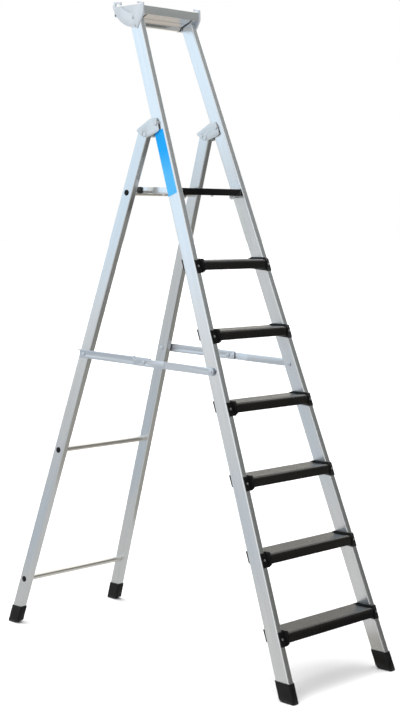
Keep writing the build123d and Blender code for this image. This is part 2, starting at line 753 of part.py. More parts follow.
side_points = deck_outline(
    [
        (NOSING_THICK, -platform_half_thick),
        (NOSING_THICK, platform_half_thick),
        (side_end, platform_half_thick),
        (side_end, -platform_half_thick),
    ]
)
hook_points = deck_outline(
    [
        (side_end, -platform_half_thick),
        (side_end, platform_half_thick),
        (deck_end, platform_half_thick),
        (deck_end, -platform_half_thick),
    ]
)
slot_points = deck_outline(
    [
        (slot_front, slot_rise),
        (rung_depth + seat_radius, rung_rise),
        (rung_depth + seat_radius, slot_base),
        (hook_start, slot_base),
    ]
)
for name, side in SIDES.items():
    reach = span(side, platform_half, side_out)
    sheet = slab(side_points, 0, *reach)
    lobe = rod(flat(PIVOT), PIVOT_LOBE, *reach)
    boss = rod(deck_at(pivot_depth + BOSS_BACK, -platform_half_thick), BOSS_RADIUS, *reach)
    hole = rod(flat(PIVOT), PIVOT_RADIUS + RUNNING_FIT, *span(side, platform_half - GAP, side_out + GAP))
    with BuildPart() as side_plate:
        add(sheet)
        add(lobe)
        add(boss)
        add(nosing.part, mode=Mode.SUBTRACT)
        add(hole, mode=Mode.SUBTRACT)
    keep(side_plate.part, f"platform_side_{name}")

    body = slab(hook_points, 0, *span(side, platform_half, platform_half + HOOK_WIDTH))
    cut = span(side, platform_half - GAP, platform_half + HOOK_WIDTH + GAP)
    seat = rod(flat(top_rung), seat_radius, *cut)
    slot = slab(slot_points, 0, *cut)
    with BuildPart() as hook:
        add(body)
        add(seat, mode=Mode.SUBTRACT)
        add(slot, mode=Mode.SUBTRACT)
    keep(hook.part, f"platform_hook_{name}")

# Platform pivot pins, fixed in the stiles' inner walls, with collars that centre the platform
with BuildPart() as pivot_pins:
    for side in SIDES.values():
        wall = stile_inner(PIVOT_UP)
        add(
            stepped_pin(
                side,
                flat(PIVOT),
                [
                    (platform_half - GAP - PIVOT_HEAD, platform_half - GAP, PIVOT_HEAD_RADIUS),
                    (platform_half - GAP - PIVOT_HEAD, wall + STILE_WALL + PIVOT_TAIL, PIVOT_RADIUS),
                    (side_out + GAP, wall - FRONT_SPLAY * PIVOT_COLLAR_RADIUS - FIXED_FIT, PIVOT_COLLAR_RADIUS),
                ],
            )
        )
keep(pivot_pins.part, "platform_pivot_pins")

# Spreader struts lie outside the stiles and legs, the front strut outside the rear one
strut_base = max(leg_outer(STRUT_LEG_UP), stile_outer(STRUT_STILE_UP))
rear_web = strut_base + REAR_STRUT_GAP
rear_face = rear_web + REAR_STRUT_PLATE
front_web = rear_face + GAP
tail_web = front_web + STRUT_STEP
tail_face = tail_web + STRUT_PLATE
strut_half = STRUT_HEIGHT / 2
rib_top = strut_half + REAR_STRUT_RISE


def along(run, rise=0.0):
    """Side-view point along the straight spreader, measured from the stile rivet."""
    return flat(strut_plane.from_local_coords(Vector(run, rise, 0)))


def along_points(corners):
    """Side-view points of an outline drawn along the spreader."""
    return [along(run, rise) for run, rise in corners]


for name, side in SIDES.items():
    near_slab = slab(
        along_points(
            [
                (0, -strut_half),
                (STRUT_CREASE, -strut_half),
                (STRUT_CREASE, strut_half),
                (0, strut_half),
            ]
        ),
        0,
        *span(side, front_web, front_web + STRUT_PLATE),
    )
    far_slab = slab(
        along_points(
            [
                (STRUT_CREASE - STRUT_CREASE_RUN, -strut_half),
                (STRUT_RUN + STRUT_TAIL, -strut_half),
                (STRUT_RUN + STRUT_TAIL, strut_half),
                (STRUT_CREASE - STRUT_CREASE_RUN, strut_half),
            ]
        ),
        0,
        *span(side, tail_web, tail_face),
    )
    stop = slab(
        along_points(
            [
                (STRUT_RUN + STRUT_TAIL - STRUT_STOP, strut_half - STRUT_STOP_PLATE),
                (STRUT_RUN + STRUT_TAIL, strut_half - STRUT_STOP_PLATE),
                (STRUT_RUN + STRUT_TAIL, rib_top + GAP + STRUT_STOP_PLATE),
                (STRUT_RUN + STRUT_TAIL - STRUT_STOP, rib_top + GAP + STRUT_STOP_PLATE),
            ]
        ),
        0,
        *span(side, tail_web, tail_face),
    )
    stop_lip = slab(
        along_points(
            [
                (STRUT_RUN + STRUT_TAIL - STRUT_STOP, rib_top + GAP),
                (STRUT_RUN + STRUT_TAIL, rib_top + GAP),
                (STRUT_RUN + STRUT_TAIL, rib_top + GAP + STRUT_STOP_PLATE),
                (STRUT_RUN + STRUT_TAIL - STRUT_STOP, rib_top + GAP + STRUT_STOP_PLATE),
            ]
        ),
        0,
        *span(side, rear_web, tail_face),
    )
    holes = [
        rod(along(0), RIVET_RADIUS + RUNNING_FIT, *span(side, front_web - GAP, tail_face + GAP)),
        rod(along(STRUT_RUN), RIVET_RADIUS + FIXED_FIT, *span(side, front_web - GAP, tail_face + GAP)),
    ]
    with BuildPart() as front_strut:
        add(near_slab)
        add(rod(along(0), strut_half, *span(side, front_web, front_web + STRUT_PLATE)))
        add(far_slab)
        add(stop)
        add(stop_lip)
        add(holes, mode=Mode.SUBTRACT)
    keep(front_strut.part, f"front_strut_{name}")

    web = slab(
        along_points(
            [
                (STRUT_RUN - REAR_STRUT_TIP, -strut_half),
                (2 * STRUT_RUN + REAR_STRUT_END, -strut_half),
                (2 * STRUT_RUN + REAR_STRUT_END, rib_top),
                (STRUT_RUN - REAR_STRUT_TIP, rib_top),
            ]
        ),
        0,
        *span(side, rear_web, rear_face),
    )
    rib_points = along_points(
        [
            (STRUT_RUN - REAR_STRUT_TIP, strut_half),
            (2 * STRUT_RUN + REAR_STRUT_END + REAR_STRUT_EAR, strut_half),
            (2 * STRUT_RUN + REAR_STRUT_END + REAR_STRUT_EAR, rib_top),
            (STRUT_RUN - REAR_STRUT_TIP, rib_top),
        ]
    )
    rib = slab(rib_points, 0, *span(side, rear_web, rear_face + REAR_STRUT_RIB))
    holes = [
        rod(along(STRUT_RUN), RIVET_RADIUS + RUNNING_FIT, *span(side, rear_web - GAP, rear_face + GAP)),
        rod(along(2 * STRUT_RUN), RIVET_RADIUS + FIXED_FIT, *span(side, rear_web - GAP, rear_face + GAP)),
    ]
    with BuildPart() as rear_strut:
        add(web)
        add(rib)
        add(holes, mode=Mode.SUBTRACT)
    keep(rear_strut.part, f"rear_strut_{name}")

    middle_rivet = stepped_pin(
        side,
        along(STRUT_RUN),
        [
            (rear_web - GAP - RIVET_HEAD, rear_web - GAP, RIVET_HEAD_RADIUS),
            (rear_web - GAP - RIVET_HEAD, tail_face + RIVET_HEAD, RIVET_RADIUS),
            (rear_face + GAP, tail_web, RIVET_HEAD_RADIUS),
            (tail_face, tail_face + RIVET_HEAD, RIVET_HEAD_RADIUS),
        ],
    )
    keep(middle_rivet, f"strut_middle_rivet_{name}")

    end_rivet = stepped_pin(
        side,
        along(2 * STRUT_RUN),
        [
            (rear_web, rear_face + RIVET_HEAD, RIVET_RADIUS),
            (rear_face, rear_face + RIVET_HEAD, RIVET_HEAD_RADIUS),
        ],
    )
    keep(end_rivet, f"strut_end_rivet_{name}")

# Rivets that carry the front struts on the stiles
with BuildPart() as stile_rivets:
    for side in SIDES.values():
        outer = stile_outer(STRUT_STILE_UP)
        inner = stile_inner(STRUT_STILE_UP)
        slack = FRONT_SPLAY * RIVET_HEAD_RADIUS + FIXED_FIT
        add(
            stepped_pin(
                side,
                along(0),
                [
                    (inner - slack - RIVET_HEAD, inner - slack, RIVET_HEAD_RADIUS),
                    (inner - slack - RIVET_HEAD, front_web + STRUT_PLATE + GAP + RIVET_HEAD, RIVET_RADIUS),
                    (outer + slack, front_web - GAP, RIVET_HEAD_RADIUS),
                    (
                        front_web + STRUT_PLATE + GAP,
                        front_web + STRUT_PLATE + GAP + RIVET_HEAD,
                        RIVET_HEAD_RADIUS,
                    ),
                ],
            )
        )
keep(stile_rivets.part, "strut_stile_rivets")

# Rivets at the legs end flush in front of the rear struts, which turn away from them as the ladder folds
with BuildPart() as leg_rivet_group:
    for side in SIDES.values():
        outer = leg_outer(STRUT_LEG_UP)
        inner = leg_inner(STRUT_LEG_UP)
        slack = REAR_SPLAY * RIVET_HEAD_RADIUS + FIXED_FIT
        add(
            stepped_pin(
                side,
                along(2 * STRUT_RUN),
                [
                    (inner - slack - RIVET_HEAD, inner - slack, RIVET_HEAD_RADIUS),
                    (inner - slack - RIVET_HEAD, rear_web - GAP, RIVET_RADIUS),
                    (outer + slack, rear_web - GAP, RIVET_HEAD_RADIUS),
                ],
            )
        )
keep(leg_rivet_group.part, "strut_leg_rivets")

# Tool tray: two rails between the end caps and a trough between the stiles
rail_base = TRAY_TOP - RAIL_HEIGHT
cap_in = stile_outer(STILE_END)
trough_half = stile_inner(STILE_END) - TROUGH_GAP
for label, y in (("front", tray_front + RAIL_THICK / 2), ("rear", tray_back - RAIL_THICK / 2)):
    with BuildPart() as rail:
        with BuildSketch(Plane.YZ.offset(-cap_in)):
            with Locations((y, rail_base + RAIL_HEIGHT / 2)):
                RectangleRounded(RAIL_THICK, RAIL_HEIGHT, RAIL_ROUND)
                RectangleRounded(
                    RAIL_THICK - 2 * RAIL_WALL,
                    RAIL_HEIGHT - 2 * RAIL_WALL,
                    RAIL_ROUND - RAIL_WALL / 2,
                    mode=Mode.SUBTRACT,
                )
        extrude(amount=2 * cap_in)
    keep(rail.part, f"tray_{label}_rail")

trough_front = tray_front + RAIL_THICK
trough_back = tray_back - RAIL_THICK
trough_points = [
    (trough_front, TRAY_TOP),
    (trough_front, rail_base),
    (tray_front + TROUGH_FLOOR_FRONT - TROUGH_LEDGE_RUN, TRAY_TOP - TROUGH_DROP + TROUGH_LEDGE),
    (tray_front + TROUGH_FLOOR_FRONT, TRAY_TOP - TROUGH_DROP),
    (tray_front + TROUGH_FLOOR_BACK, TRAY_TOP - TROUGH_DROP),
    (trough_back, rail_base),
    (trough_back, TRAY_TOP),
]
with BuildPart() as trough:
    with BuildSketch(Plane.YZ.offset(-trough_half)) as profile:
        with BuildLine():
            Polyline(*trough_points, close=True)
        make_face()
        fillet(profile.vertices().group_by(Axis.Y)[0], TROUGH_ROUND)
        outside = profile.face()
        offset(outside, amount=-TROUGH_WALL, mode=Mode.SUBTRACT)
        with Locations(((trough_front + trough_back) / 2, TRAY_TOP)):
            Rectangle(trough_back - trough_front - 2 * TROUGH_WALL, 4 * TROUGH_WALL, mode=Mode.SUBTRACT)
        with Locations([(Vector(*trough_points[1]) + Vector(*trough_points[2])) * 0.5]):
            Circle(TROUGH_BEAD, mode=Mode.SUBTRACT)
    extrude(amount=2 * trough_half)
keep(trough.part, "tray_trough")

cap_points = [(tray_front + y, TRAY_TOP + z) for y, z in CAP_FRONT_OUTLINE]
cap_points += [(tray_back + y, TRAY_TOP + z) for y, z in CAP_BACK_OUTLINE]
groove_points = [(tray_front + y, TRAY_TOP + z) for y, z in CAP_GROOVE_ENDS]
cap_face = cap_in + CAP_PLATE
rail_ends = [
    slab(
        [
            (y, rail_base),
            (y, TRAY_TOP),
            (y + RAIL_THICK, TRAY_TOP),
            (y + RAIL_THICK, rail_base),
        ],
        RAIL_ROUND,
        -cap_in,
        cap_in,
    )
    for y in (tray_front, tray_back - RAIL_THICK)
]
for name, side in SIDES.items():
    block = slab(trough_points, 0, *span(side, trough_half + TROUGH_GAP, cap_in))
    with BuildPart() as shield:
        low, high = span(side, cap_in - STILE_WALL, cap_face)
        with BuildSketch(Plane.YZ.offset(low)):
            with BuildLine():
                Polyline(*cap_points)
                SagittaArc(cap_points[-1], cap_points[0], CAP_BULGE)
            make_face()
        extrude(amount=high - low)
    with BuildPart() as groove:
        low, high = span(side, cap_face - CAP_GROOVE_DEPTH, cap_face + CAP_GROOVE_DEPTH)
        with BuildSketch(Plane.YZ.offset(low)):
            with BuildLine():
                SagittaArc(*groove_points, CAP_GROOVE_SAG)
            trace(line_width=CAP_GROOVE)
        extrude(amount=high - low)
    rivet_holes = [
        rod(
            flat(front_at(up, STILE_DEPTH / 2)),
            CAP_RIVET_RADIUS + FIXED_FIT,
            *span(side, cap_in - STILE_THICK, cap_in + 2 * CAP_PLATE),
        )
        for up in cap_rivet_ups
    ]
    with BuildPart() as cap:
        add(shield.part)
        add(block)
        add(rail_ends, mode=Mode.SUBTRACT)
        add(groove.part, mode=Mode.SUBTRACT)
        add(stile_solid[name], mode=Mode.SUBTRACT)
        add(rivet_holes, mode=Mode.SUBTRACT)
    keep(cap.part, f"tray_cap_{name}")

with BuildPart() as cap_rivets:
    for side in SIDES.values():
        for up in cap_rivet_ups:
            face = cap_in + CAP_PLATE
            add(
                stepped_pin(
                    side,
                    flat(front_at(up, STILE_DEPTH / 2)),
                    [
                        (stile_outer(up) - 2 * STILE_WALL, face + CAP_RIVET_HEAD, CAP_RIVET_RADIUS),
                        (face, face + CAP_RIVET_HEAD, CAP_RIVET_HEAD_RADIUS),
                    ],
                )
            )
keep(cap_rivets.part, "tray_cap_rivets")


# Angles that the joints need, worked out from the pivots
def turn(point, centre, angle):
    """Side-view rotation of a point about a centre, seen from +X, in radians."""
    y, z = point.Y - centre.Y, point.Z - centre.Z
    return Vector(0, centre.Y + y * cos(angle) - z * sin(angle), centre.Z + y * sin(angle) + z * cos(angle))


FOLD = 37.0
closed_back = turn(STRUT_BACK, HINGE, -radians(FOLD))
reach = closed_back - STRUT_FRONT
half = reach.length / 2
rise = sqrt(STRUT_RUN**2 - half**2)
closed_middle = STRUT_FRONT + reach * 0.5 + Vector(0, -reach.Z, reach.Y) * (rise / reach.length)
start = degrees(atan2(strut_line.Z, strut_line.Y))
end_front = degrees(atan2(closed_middle.Z - STRUT_FRONT.Z, closed_middle.Y - STRUT_FRONT.Y))
end_rear = degrees(atan2(closed_back.Z - closed_middle.Z, closed_back.Y - closed_middle.Y))
print("fold", FOLD, "hinge", HINGE, "platform pivot", PIVOT, "tilt", FRONT_LEAN)
print("strut front", STRUT_FRONT, "middle", STRUT_MIDDLE, "back", STRUT_BACK)
print("front strut turn", end_front - start, "rear strut turn on front strut", end_rear - end_front)
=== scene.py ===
import json
import logging
import math
from dataclasses import dataclass
from enum import Enum

import bmesh
import bpy
from mathutils import Matrix, Vector

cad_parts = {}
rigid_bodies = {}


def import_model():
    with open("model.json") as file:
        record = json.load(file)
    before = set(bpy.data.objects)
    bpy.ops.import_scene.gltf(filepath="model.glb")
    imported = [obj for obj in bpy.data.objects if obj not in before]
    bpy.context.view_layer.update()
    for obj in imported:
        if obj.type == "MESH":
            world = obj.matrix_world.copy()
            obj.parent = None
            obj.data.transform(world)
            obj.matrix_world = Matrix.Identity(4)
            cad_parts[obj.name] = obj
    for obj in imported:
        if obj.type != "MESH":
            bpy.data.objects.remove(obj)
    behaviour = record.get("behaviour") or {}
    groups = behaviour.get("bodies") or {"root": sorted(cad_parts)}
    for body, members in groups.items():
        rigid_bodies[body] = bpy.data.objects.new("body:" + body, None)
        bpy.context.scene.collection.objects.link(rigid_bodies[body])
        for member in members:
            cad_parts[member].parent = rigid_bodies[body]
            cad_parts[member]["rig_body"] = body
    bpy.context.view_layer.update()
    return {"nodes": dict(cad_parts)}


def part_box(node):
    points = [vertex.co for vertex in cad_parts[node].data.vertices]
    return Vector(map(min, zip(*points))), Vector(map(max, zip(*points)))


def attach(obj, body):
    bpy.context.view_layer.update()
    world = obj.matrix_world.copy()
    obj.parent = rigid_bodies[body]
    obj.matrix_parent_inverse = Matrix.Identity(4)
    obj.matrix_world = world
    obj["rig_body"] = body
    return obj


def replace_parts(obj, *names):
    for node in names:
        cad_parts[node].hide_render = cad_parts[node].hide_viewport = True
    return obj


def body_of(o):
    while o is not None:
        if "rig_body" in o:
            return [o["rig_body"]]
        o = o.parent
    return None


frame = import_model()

log = logging.getLogger("stepladder")

# One millimetre in metres
MM = 0.001

# Lean of the frames from the floor, in degrees
FRONT_LEAN = 69.85
REAR_LEAN = 71.55

# Spread of a noise pattern's values about one half
NOISE_LOW = 0.3
NOISE_HIGH = 0.7

# Edges that turn more than SHARP, in degrees, are sharp, and faces that turn less than FLAT are one face
SHARP = 32.0
FLAT = 0.5

# Points nearer than this, in metres, are one point, on a CAD node and on a turned shape
NODE_MERGE = 0.002 * MM
TURNED_MERGE = 0.001 * MM

# Points nearer than this, in metres, lie on a rivet's end or on the floor
END_NEAR = 0.02 * MM
FLOOR_NEAR = 0.01 * MM

# Section of a rivet's dome: shares of the hole's radius, then of the head's, each with a share of the height
HOLE_SECTION = ((0.0, 0.15), (1.0, 0.15), (1.0, 0.95), (1.25, 1.0))
HEAD_SECTION = ((0.6, 0.9), (0.85, 0.55), (1.0, 0.0), (1.0, -0.1))
HEAD_STEPS = 24

# Share of a dome's height under which the faces in its hole are the floor, which is painted dark as shade
HOLE_FLOOR = 0.5

# Body of the pieces that no CAD node stands for
FRONT_BODY = "front_frame"


class Side(Enum):
    """Side of the ladder, as the sign of x."""

    LEFT = -1
    RIGHT = 1


class Slot(Enum):
    """Material slots of the record."""

    STILE = "stile_aluminium"
    SHEET = "sheet_aluminium"
    TREAD = "black_tread"
    BLACK = "black_moulding"
    FOOT = "foot_rubber"
    CAP = "grey_moulding"
    STEEL = "fastener_steel"


class Grain(Enum):
    """Axis that drawn lines run along."""

    ACROSS = 0
    BACK = 1
    UP = 2


class NodeTree:
    """Small helper that adds and joins the shader nodes of one material."""

    def __init__(self, name: str) -> None:
        """Starts a material with only its Principled shader and output.

        Args:
            name: Name of the material.
        """
        self.material = bpy.data.materials.new(name)
        self.material.use_nodes = True
        self.tree = self.material.node_tree
        self.shader = self.tree.nodes["Principled BSDF"]

    def set(self, **values: object) -> None:
        """Sets sockets of the shader, whose names have underscores for spaces."""
        for name, value in values.items():
            self.shader.inputs[name.replace("_", " ")].default_value = value

    def add(self, kind: str, **settings: object) -> bpy.types.Node:
        """Adds a node.

        Args:
            kind: Blender's type name of the node.
            settings: Properties to set on the node.

        Returns:
            The new node.
        """
        node = self.tree.nodes.new(kind)
        for key, value in settings.items():
            setattr(node, key, value)
        return node

    def join(self, start: bpy.types.NodeSocket, end: bpy.types.NodeSocket) -> None:
        """Links an output socket to an input socket."""
        self.tree.links.new(start, end)

    def feed(self, start: bpy.types.NodeSocket, socket: str) -> None:
        """Links an output socket to a socket of the shader."""
        self.join(start, self.shader.inputs[socket])

    def place(
        self,
        scale: tuple[float, float, float],
        turn: float = 0.0,
        start: float = 0.0,
    ) -> bpy.types.NodeSocket:
        """Makes object coordinates that are turned about x and stretched.

        Args:
            scale: Size of the pattern's unit along the three axes, in metres.
            turn: Turn of the pattern about x in degrees.
            start: Height that the pattern starts from, in metres.

        Returns:
            The output socket of the mapping.
        """
        coordinates = self.add("ShaderNodeTexCoord")
        mapping = self.add("ShaderNodeMapping", vector_type="TEXTURE")
        mapping.inputs["Location"].default_value = (0.0, 0.0, start)
        mapping.inputs["Rotation"].default_value = (math.radians(turn), 0.0, 0.0)
        mapping.inputs["Scale"].default_value = scale
        self.join(coordinates.outputs["Object"], mapping.inputs["Vector"])
        return mapping.outputs["Vector"]

    def noise(self, vector: bpy.types.NodeSocket, detail: float) -> bpy.types.NodeSocket:
        """Adds a noise pattern.

        Args:
            vector: Socket with the coordinates.
            detail: Number of finer layers.

        Returns:
            The socket with the pattern's value.
        """
        noise = self.add("ShaderNodeTexNoise")
        noise.inputs["Scale"].default_value = 1.0
        noise.inputs["Detail"].default_value = detail
        self.join(vector, noise.inputs["Vector"])
        return noise.outputs["Fac"]

    def spread(self, value: bpy.types.NodeSocket, low: float, high: float) -> bpy.types.NodeSocket:
        """Maps a noise pattern's value to a range.

        Args:
            value: Socket with values about one half.
            low: Result at the pattern's low end.
            high: Result at the pattern's high end.

        Returns:
            The socket with the mapped value.
        """
        spread = self.add("ShaderNodeMapRange")
        spread.inputs["From Min"].default_value = NOISE_LOW
        spread.inputs["From Max"].default_value = NOISE_HIGH
        spread.inputs["To Min"].default_value = low
        spread.inputs["To Max"].default_value = high
        self.join(value, spread.inputs["Value"])
        return spread.outputs["Result"]

    def tones(
        self,
        value: bpy.types.NodeSocket,
        low: tuple[float, float, float],
        high: tuple[float, float, float],
    ) -> bpy.types.NodeSocket:
        """Maps a noise pattern's value to colours between two tones.

        Args:
            value: Socket with values about one half.
            low: Colour at the pattern's low end.
            high: Colour at the pattern's high end.

        Returns:
            The socket with the colour.
        """
        ramp = self.add("ShaderNodeValToRGB")
        ramp.color_ramp.elements[0].position = NOISE_LOW
        ramp.color_ramp.elements[0].color = (*low, 1.0)
        ramp.color_ramp.elements[1].position = NOISE_HIGH
        ramp.color_ramp.elements[1].color = (*high, 1.0)
        self.join(value, ramp.inputs["Fac"])
        return ramp.outputs["Color"]

    def bump(self, height: bpy.types.NodeSocket, strength: float, distance: float) -> None:
        """Gives the shader a fine relief.

        Args:
            height: Socket with the relief's pattern.
            strength: Share of the relief that is used.
            distance: Depth of the relief in metres.
        """
        bump = self.add("ShaderNodeBump")
        bump.inputs["Strength"].default_value = strength
        bump.inputs["Distance"].default_value = distance
        self.join(height, bump.inputs["Height"])
        self.feed(bump.outputs["Normal"], "Normal")


@dataclass(frozen=True)
class DrawnAluminium:
    """Aluminium section with fine lines drawn along its length and a tone that drifts a little.

    Attributes:
        name: Name of the material.
        slot: Slot of the record, not used here.
        low: Colour of the darker drifts.
        high: Colour of the lighter drifts.
        rough_low: Roughness in the smoothest lines.
        rough_high: Roughness in the coarsest lines.
        grain: Axis that the lines run along.
        turn: Turn about x, in degrees, that brings the length to that axis.
        line: Width of the lines in millimetres.
        run: Length of the lines in millimetres.
        relief: Depth of the lines in millimetres.
        shown: Share of that depth that shows.
        drift_width: Width of the drifts in widths of a line.
        drift_run: Length of the drifts in lengths of a line.
    """

    name: str
    slot: Slot
    low: tuple[float, float, float] = (0.78, 0.80, 0.82)
    high: tuple[float, float, float] = (0.81, 0.83, 0.85)
    rough_low: float = 0.2
    rough_high: float = 0.26
    grain: Grain = Grain.UP
    turn: float = 0.0
    line: float = 1.2
    run: float = 900.0
    relief: float = 0.003
    shown: float = 0.15
    drift_width: float = 12.0
    drift_run: float = 3.0

    def stretched(self, width: float, length: float) -> tuple[float, float, float]:
        """Gives a pattern's size along the three axes.

        Args:
            width: Size across the grain in millimetres.
            length: Size along the grain in millimetres.

        Returns:
            The sizes in metres.
        """
        sizes = [width * MM] * 3
        sizes[self.grain.value] = length * MM
        return tuple(sizes)

    def make(self) -> bpy.types.Material:
        """Builds the material.

        Returns:
            The finished material.
        """
        nodes = NodeTree(self.name)
        nodes.set(Metallic=1.0)
        lines = nodes.noise(nodes.place(self.stretched(self.line, self.run), self.turn), detail=2.0)
        drift = self.stretched(self.drift_width * self.line, self.drift_run * self.run)
        drifts = nodes.noise(nodes.place(drift, self.turn), detail=1.0)
        nodes.feed(nodes.tones(drifts, self.low, self.high), "Base Color")
        nodes.feed(nodes.spread(lines, self.rough_low, self.rough_high), "Roughness")
        nodes.bump(lines, self.shown, self.relief * MM)
        return nodes.material


@dataclass(frozen=True)
class PlatedSteel:
    """Plated steel of pins, rivets and screws, with a faint bloom.

    Attributes:
        name: Name of the material.
        slot: Slot of the record, not used here.
        low: Colour of the darker spots.
        high: Colour of the lighter spots.
        rough_low: Roughness in the smoothest spots.
        rough_high: Roughness in the coarsest spots.
        spot: Size of the spots in millimetres.
    """

    name: str
    slot: Slot
    low: tuple[float, float, float] = (0.50, 0.51, 0.52)
    high: tuple[float, float, float] = (0.62, 0.64, 0.66)
    rough_low: float = 0.24
    rough_high: float = 0.38
    spot: float = 3.0

    def make(self) -> bpy.types.Material:
        """Builds the material.

        Returns:
            The finished material.
        """
        nodes = NodeTree(self.name)
        nodes.set(Metallic=1.0)
        spots = nodes.noise(nodes.place((self.spot * MM,) * 3), detail=3.0)
        nodes.feed(nodes.tones(spots, self.low, self.high), "Base Color")
        nodes.feed(nodes.spread(spots, self.rough_high, self.rough_low), "Roughness")
        return nodes.material


@dataclass(frozen=True)
class Moulding:
    """Moulded or coated surface with a fine grain and faint handling marks.

    Attributes:
        name: Name of the material.
        slot: Slot of the record, not used here.
        low: Colour of the clean surface.
        high: Colour of the rubbed spots.
        rough_low: Roughness in the smoothest spots.
        rough_high: Roughness in the coarsest spots.
        grain: Size of the grain in millimetres.
        relief: Depth of the grain in millimetres.
        mark: Size of the handling marks in millimetres.
        gloss: Level of the reflection, one half being plain.
        shown: Share of the grain's depth that shows.
    """

    name: str
    slot: Slot
    low: tuple[float, float, float]
    high: tuple[float, float, float]
    rough_low: float = 0.3
    rough_high: float = 0.42
    grain: float = 1.1
    relief: float = 0.02
    mark: float = 45.0
    gloss: float = 0.3
    shown: float = 0.4

    def make(self) -> bpy.types.Material:
        """Builds the material.

        Returns:
            The finished material.
        """
        nodes = NodeTree(self.name)
        nodes.set(Specular_IOR_Level=self.gloss)
        marks = nodes.noise(nodes.place((self.mark * MM,) * 3), detail=6.0)
        nodes.feed(nodes.tones(marks, self.low, self.high), "Base Color")
        nodes.feed(nodes.spread(marks, self.rough_low, self.rough_high), "Roughness")
        grain = nodes.noise(nodes.place((self.grain * MM,) * 3), detail=2.0)
        nodes.bump(grain, self.shown, self.relief * MM)
        return nodes.material


@dataclass(frozen=True)
class Film:
    """Thin coloured film, lighter towards its lower end.

    Attributes:
        name: Name of the material.
        high: Colour at the upper end.
        low: Colour at the lower end.
        base: Height of the lower end in millimetres.
        rise: Height from end to end in millimetres.
        rough_low: Roughness in the smoothest spots.
        rough_high: Roughness in the coarsest spots.
        gloss: Level of the reflection, one half being plain.
        spot: Size of the spots in millimetres.
        relief: Depth of the spots in millimetres.
        shown: Share of that depth that shows.
    """

    name: str
    high: tuple[float, float, float]
    low: tuple[float, float, float]
    base: float
    rise: float
    rough_low: float = 0.4
    rough_high: float = 0.5
    gloss: float = 0.15
    spot: float = 14.0
    relief: float = 0.05
    shown: float = 0.1

    def make(self) -> bpy.types.Material:
        """Builds the material.

        Returns:
            The finished material.
        """
        nodes = NodeTree(self.name)
        nodes.set(Specular_IOR_Level=self.gloss)
        height = nodes.add("ShaderNodeSeparateXYZ")
        nodes.join(nodes.place((1.0, 1.0, self.rise * MM), start=self.base * MM), height.inputs["Vector"])
        nodes.feed(nodes.tones(height.outputs["Z"], self.low, self.high), "Base Color")
        spots = nodes.noise(nodes.place((self.spot * MM,) * 3), detail=3.0)
        nodes.feed(nodes.spread(spots, self.rough_low, self.rough_high), "Roughness")
        nodes.bump(spots, self.shown, self.relief * MM)
        return nodes.material


Finish = DrawnAluminium | PlatedSteel | Moulding | Film

STILE_FINISH = DrawnAluminium("stile_aluminium", Slot.STILE, turn=FRONT_LEAN - 90.0)
LEG_FINISH = DrawnAluminium(
    "leg_aluminium", Slot.STILE, (0.69, 0.715, 0.735), (0.72, 0.745, 0.765), turn=90.0 - REAR_LEAN
)
# The rungs' warm tint is a painted reflection, not the aluminium's own colour.
RUNG_FINISH = DrawnAluminium(
    "rung_aluminium", Slot.SHEET, (0.77, 0.75, 0.71), (0.81, 0.79, 0.75), 0.24, 0.34, Grain.ACROSS
)
TRAY_FINISH = DrawnAluminium(
    "tray_aluminium", Slot.SHEET, grain=Grain.ACROSS, rough_low=0.2, rough_high=0.3
)
RAIL_FINISH = DrawnAluminium(
    "rail_aluminium", Slot.SHEET, (0.80, 0.83, 0.84), (0.84, 0.87, 0.88), 0.4, 0.48, Grain.ACROSS
)
DECK_FINISH = DrawnAluminium(
    "deck_aluminium", Slot.SHEET, grain=Grain.ACROSS, rough_low=0.28, rough_high=0.4
)
SIDE_FINISH = DrawnAluminium(
    "side_plate_aluminium", Slot.SHEET, grain=Grain.BACK, rough_low=0.14, rough_high=0.24
)
STRUT_FINISH = DrawnAluminium(
    "strut_aluminium", Slot.SHEET, (0.66, 0.69, 0.73), (0.70, 0.73, 0.77), 0.28, 0.38, Grain.BACK
)
HINGE_FINISH = DrawnAluminium(
    "hinge_plate_aluminium",
    Slot.SHEET,
    (0.72, 0.74, 0.76),
    (0.75, 0.77, 0.79),
    0.44,
    0.54,
    Grain.BACK,
    line=3.0,
    run=40.0,
)
STEEL_FINISH = PlatedSteel("fastener_steel", Slot.STEEL)
# Dark floors of the rivets' holes: painted shade, not the steel's own colour.
HOLE_SHADE_FINISH = PlatedSteel("fastener_hollow", Slot.STEEL, (0.03, 0.03, 0.03), (0.08, 0.08, 0.08), 0.4, 0.6)
TREAD_FINISH = Moulding(
    "tread_black_coat",
    Slot.TREAD,
    (0.0035, 0.003, 0.0025),
    (0.006, 0.0055, 0.005),
    0.24,
    0.28,
    grain=0.8,
    relief=0.001,
    mark=60.0,
    gloss=0.5,
)
BLACK_FINISH = Moulding(
    "black_moulding", Slot.BLACK, (0.003, 0.003, 0.003), (0.006, 0.006, 0.006), gloss=0.18
)
HOOK_FINISH = Moulding(
    "hook_moulding", Slot.BLACK, (0.02, 0.022, 0.025), (0.03, 0.032, 0.035), 0.24, 0.32, gloss=0.6
)
BUFFER_FINISH = Moulding("buffer_moulding", Slot.BLACK, (0.1, 0.1, 0.1), (0.13, 0.13, 0.13), gloss=0.2)
FOOT_FINISH = Moulding(
    "foot_rubber", Slot.FOOT, (0.003, 0.003, 0.003), (0.007, 0.007, 0.007), 0.36, 0.5, 1.6, 0.03, 25.0, 0.22
)
# Black sleeves at the trough's ends: a dark piece that stands in for the shade in the gap between trough and
# stiles.
GAP_SHADE_FINISH = Moulding("seal_rubber", Slot.BLACK, (0.006, 0.006, 0.006), (0.01, 0.01, 0.01), 0.5, 0.65)
CAP_FINISH = Moulding(
    "cap_grey_moulding", Slot.CAP, (0.63, 0.69, 0.76), (0.68, 0.735, 0.79), 0.3, 0.42, 1.4, 0.015, 30.0, 0.5
)
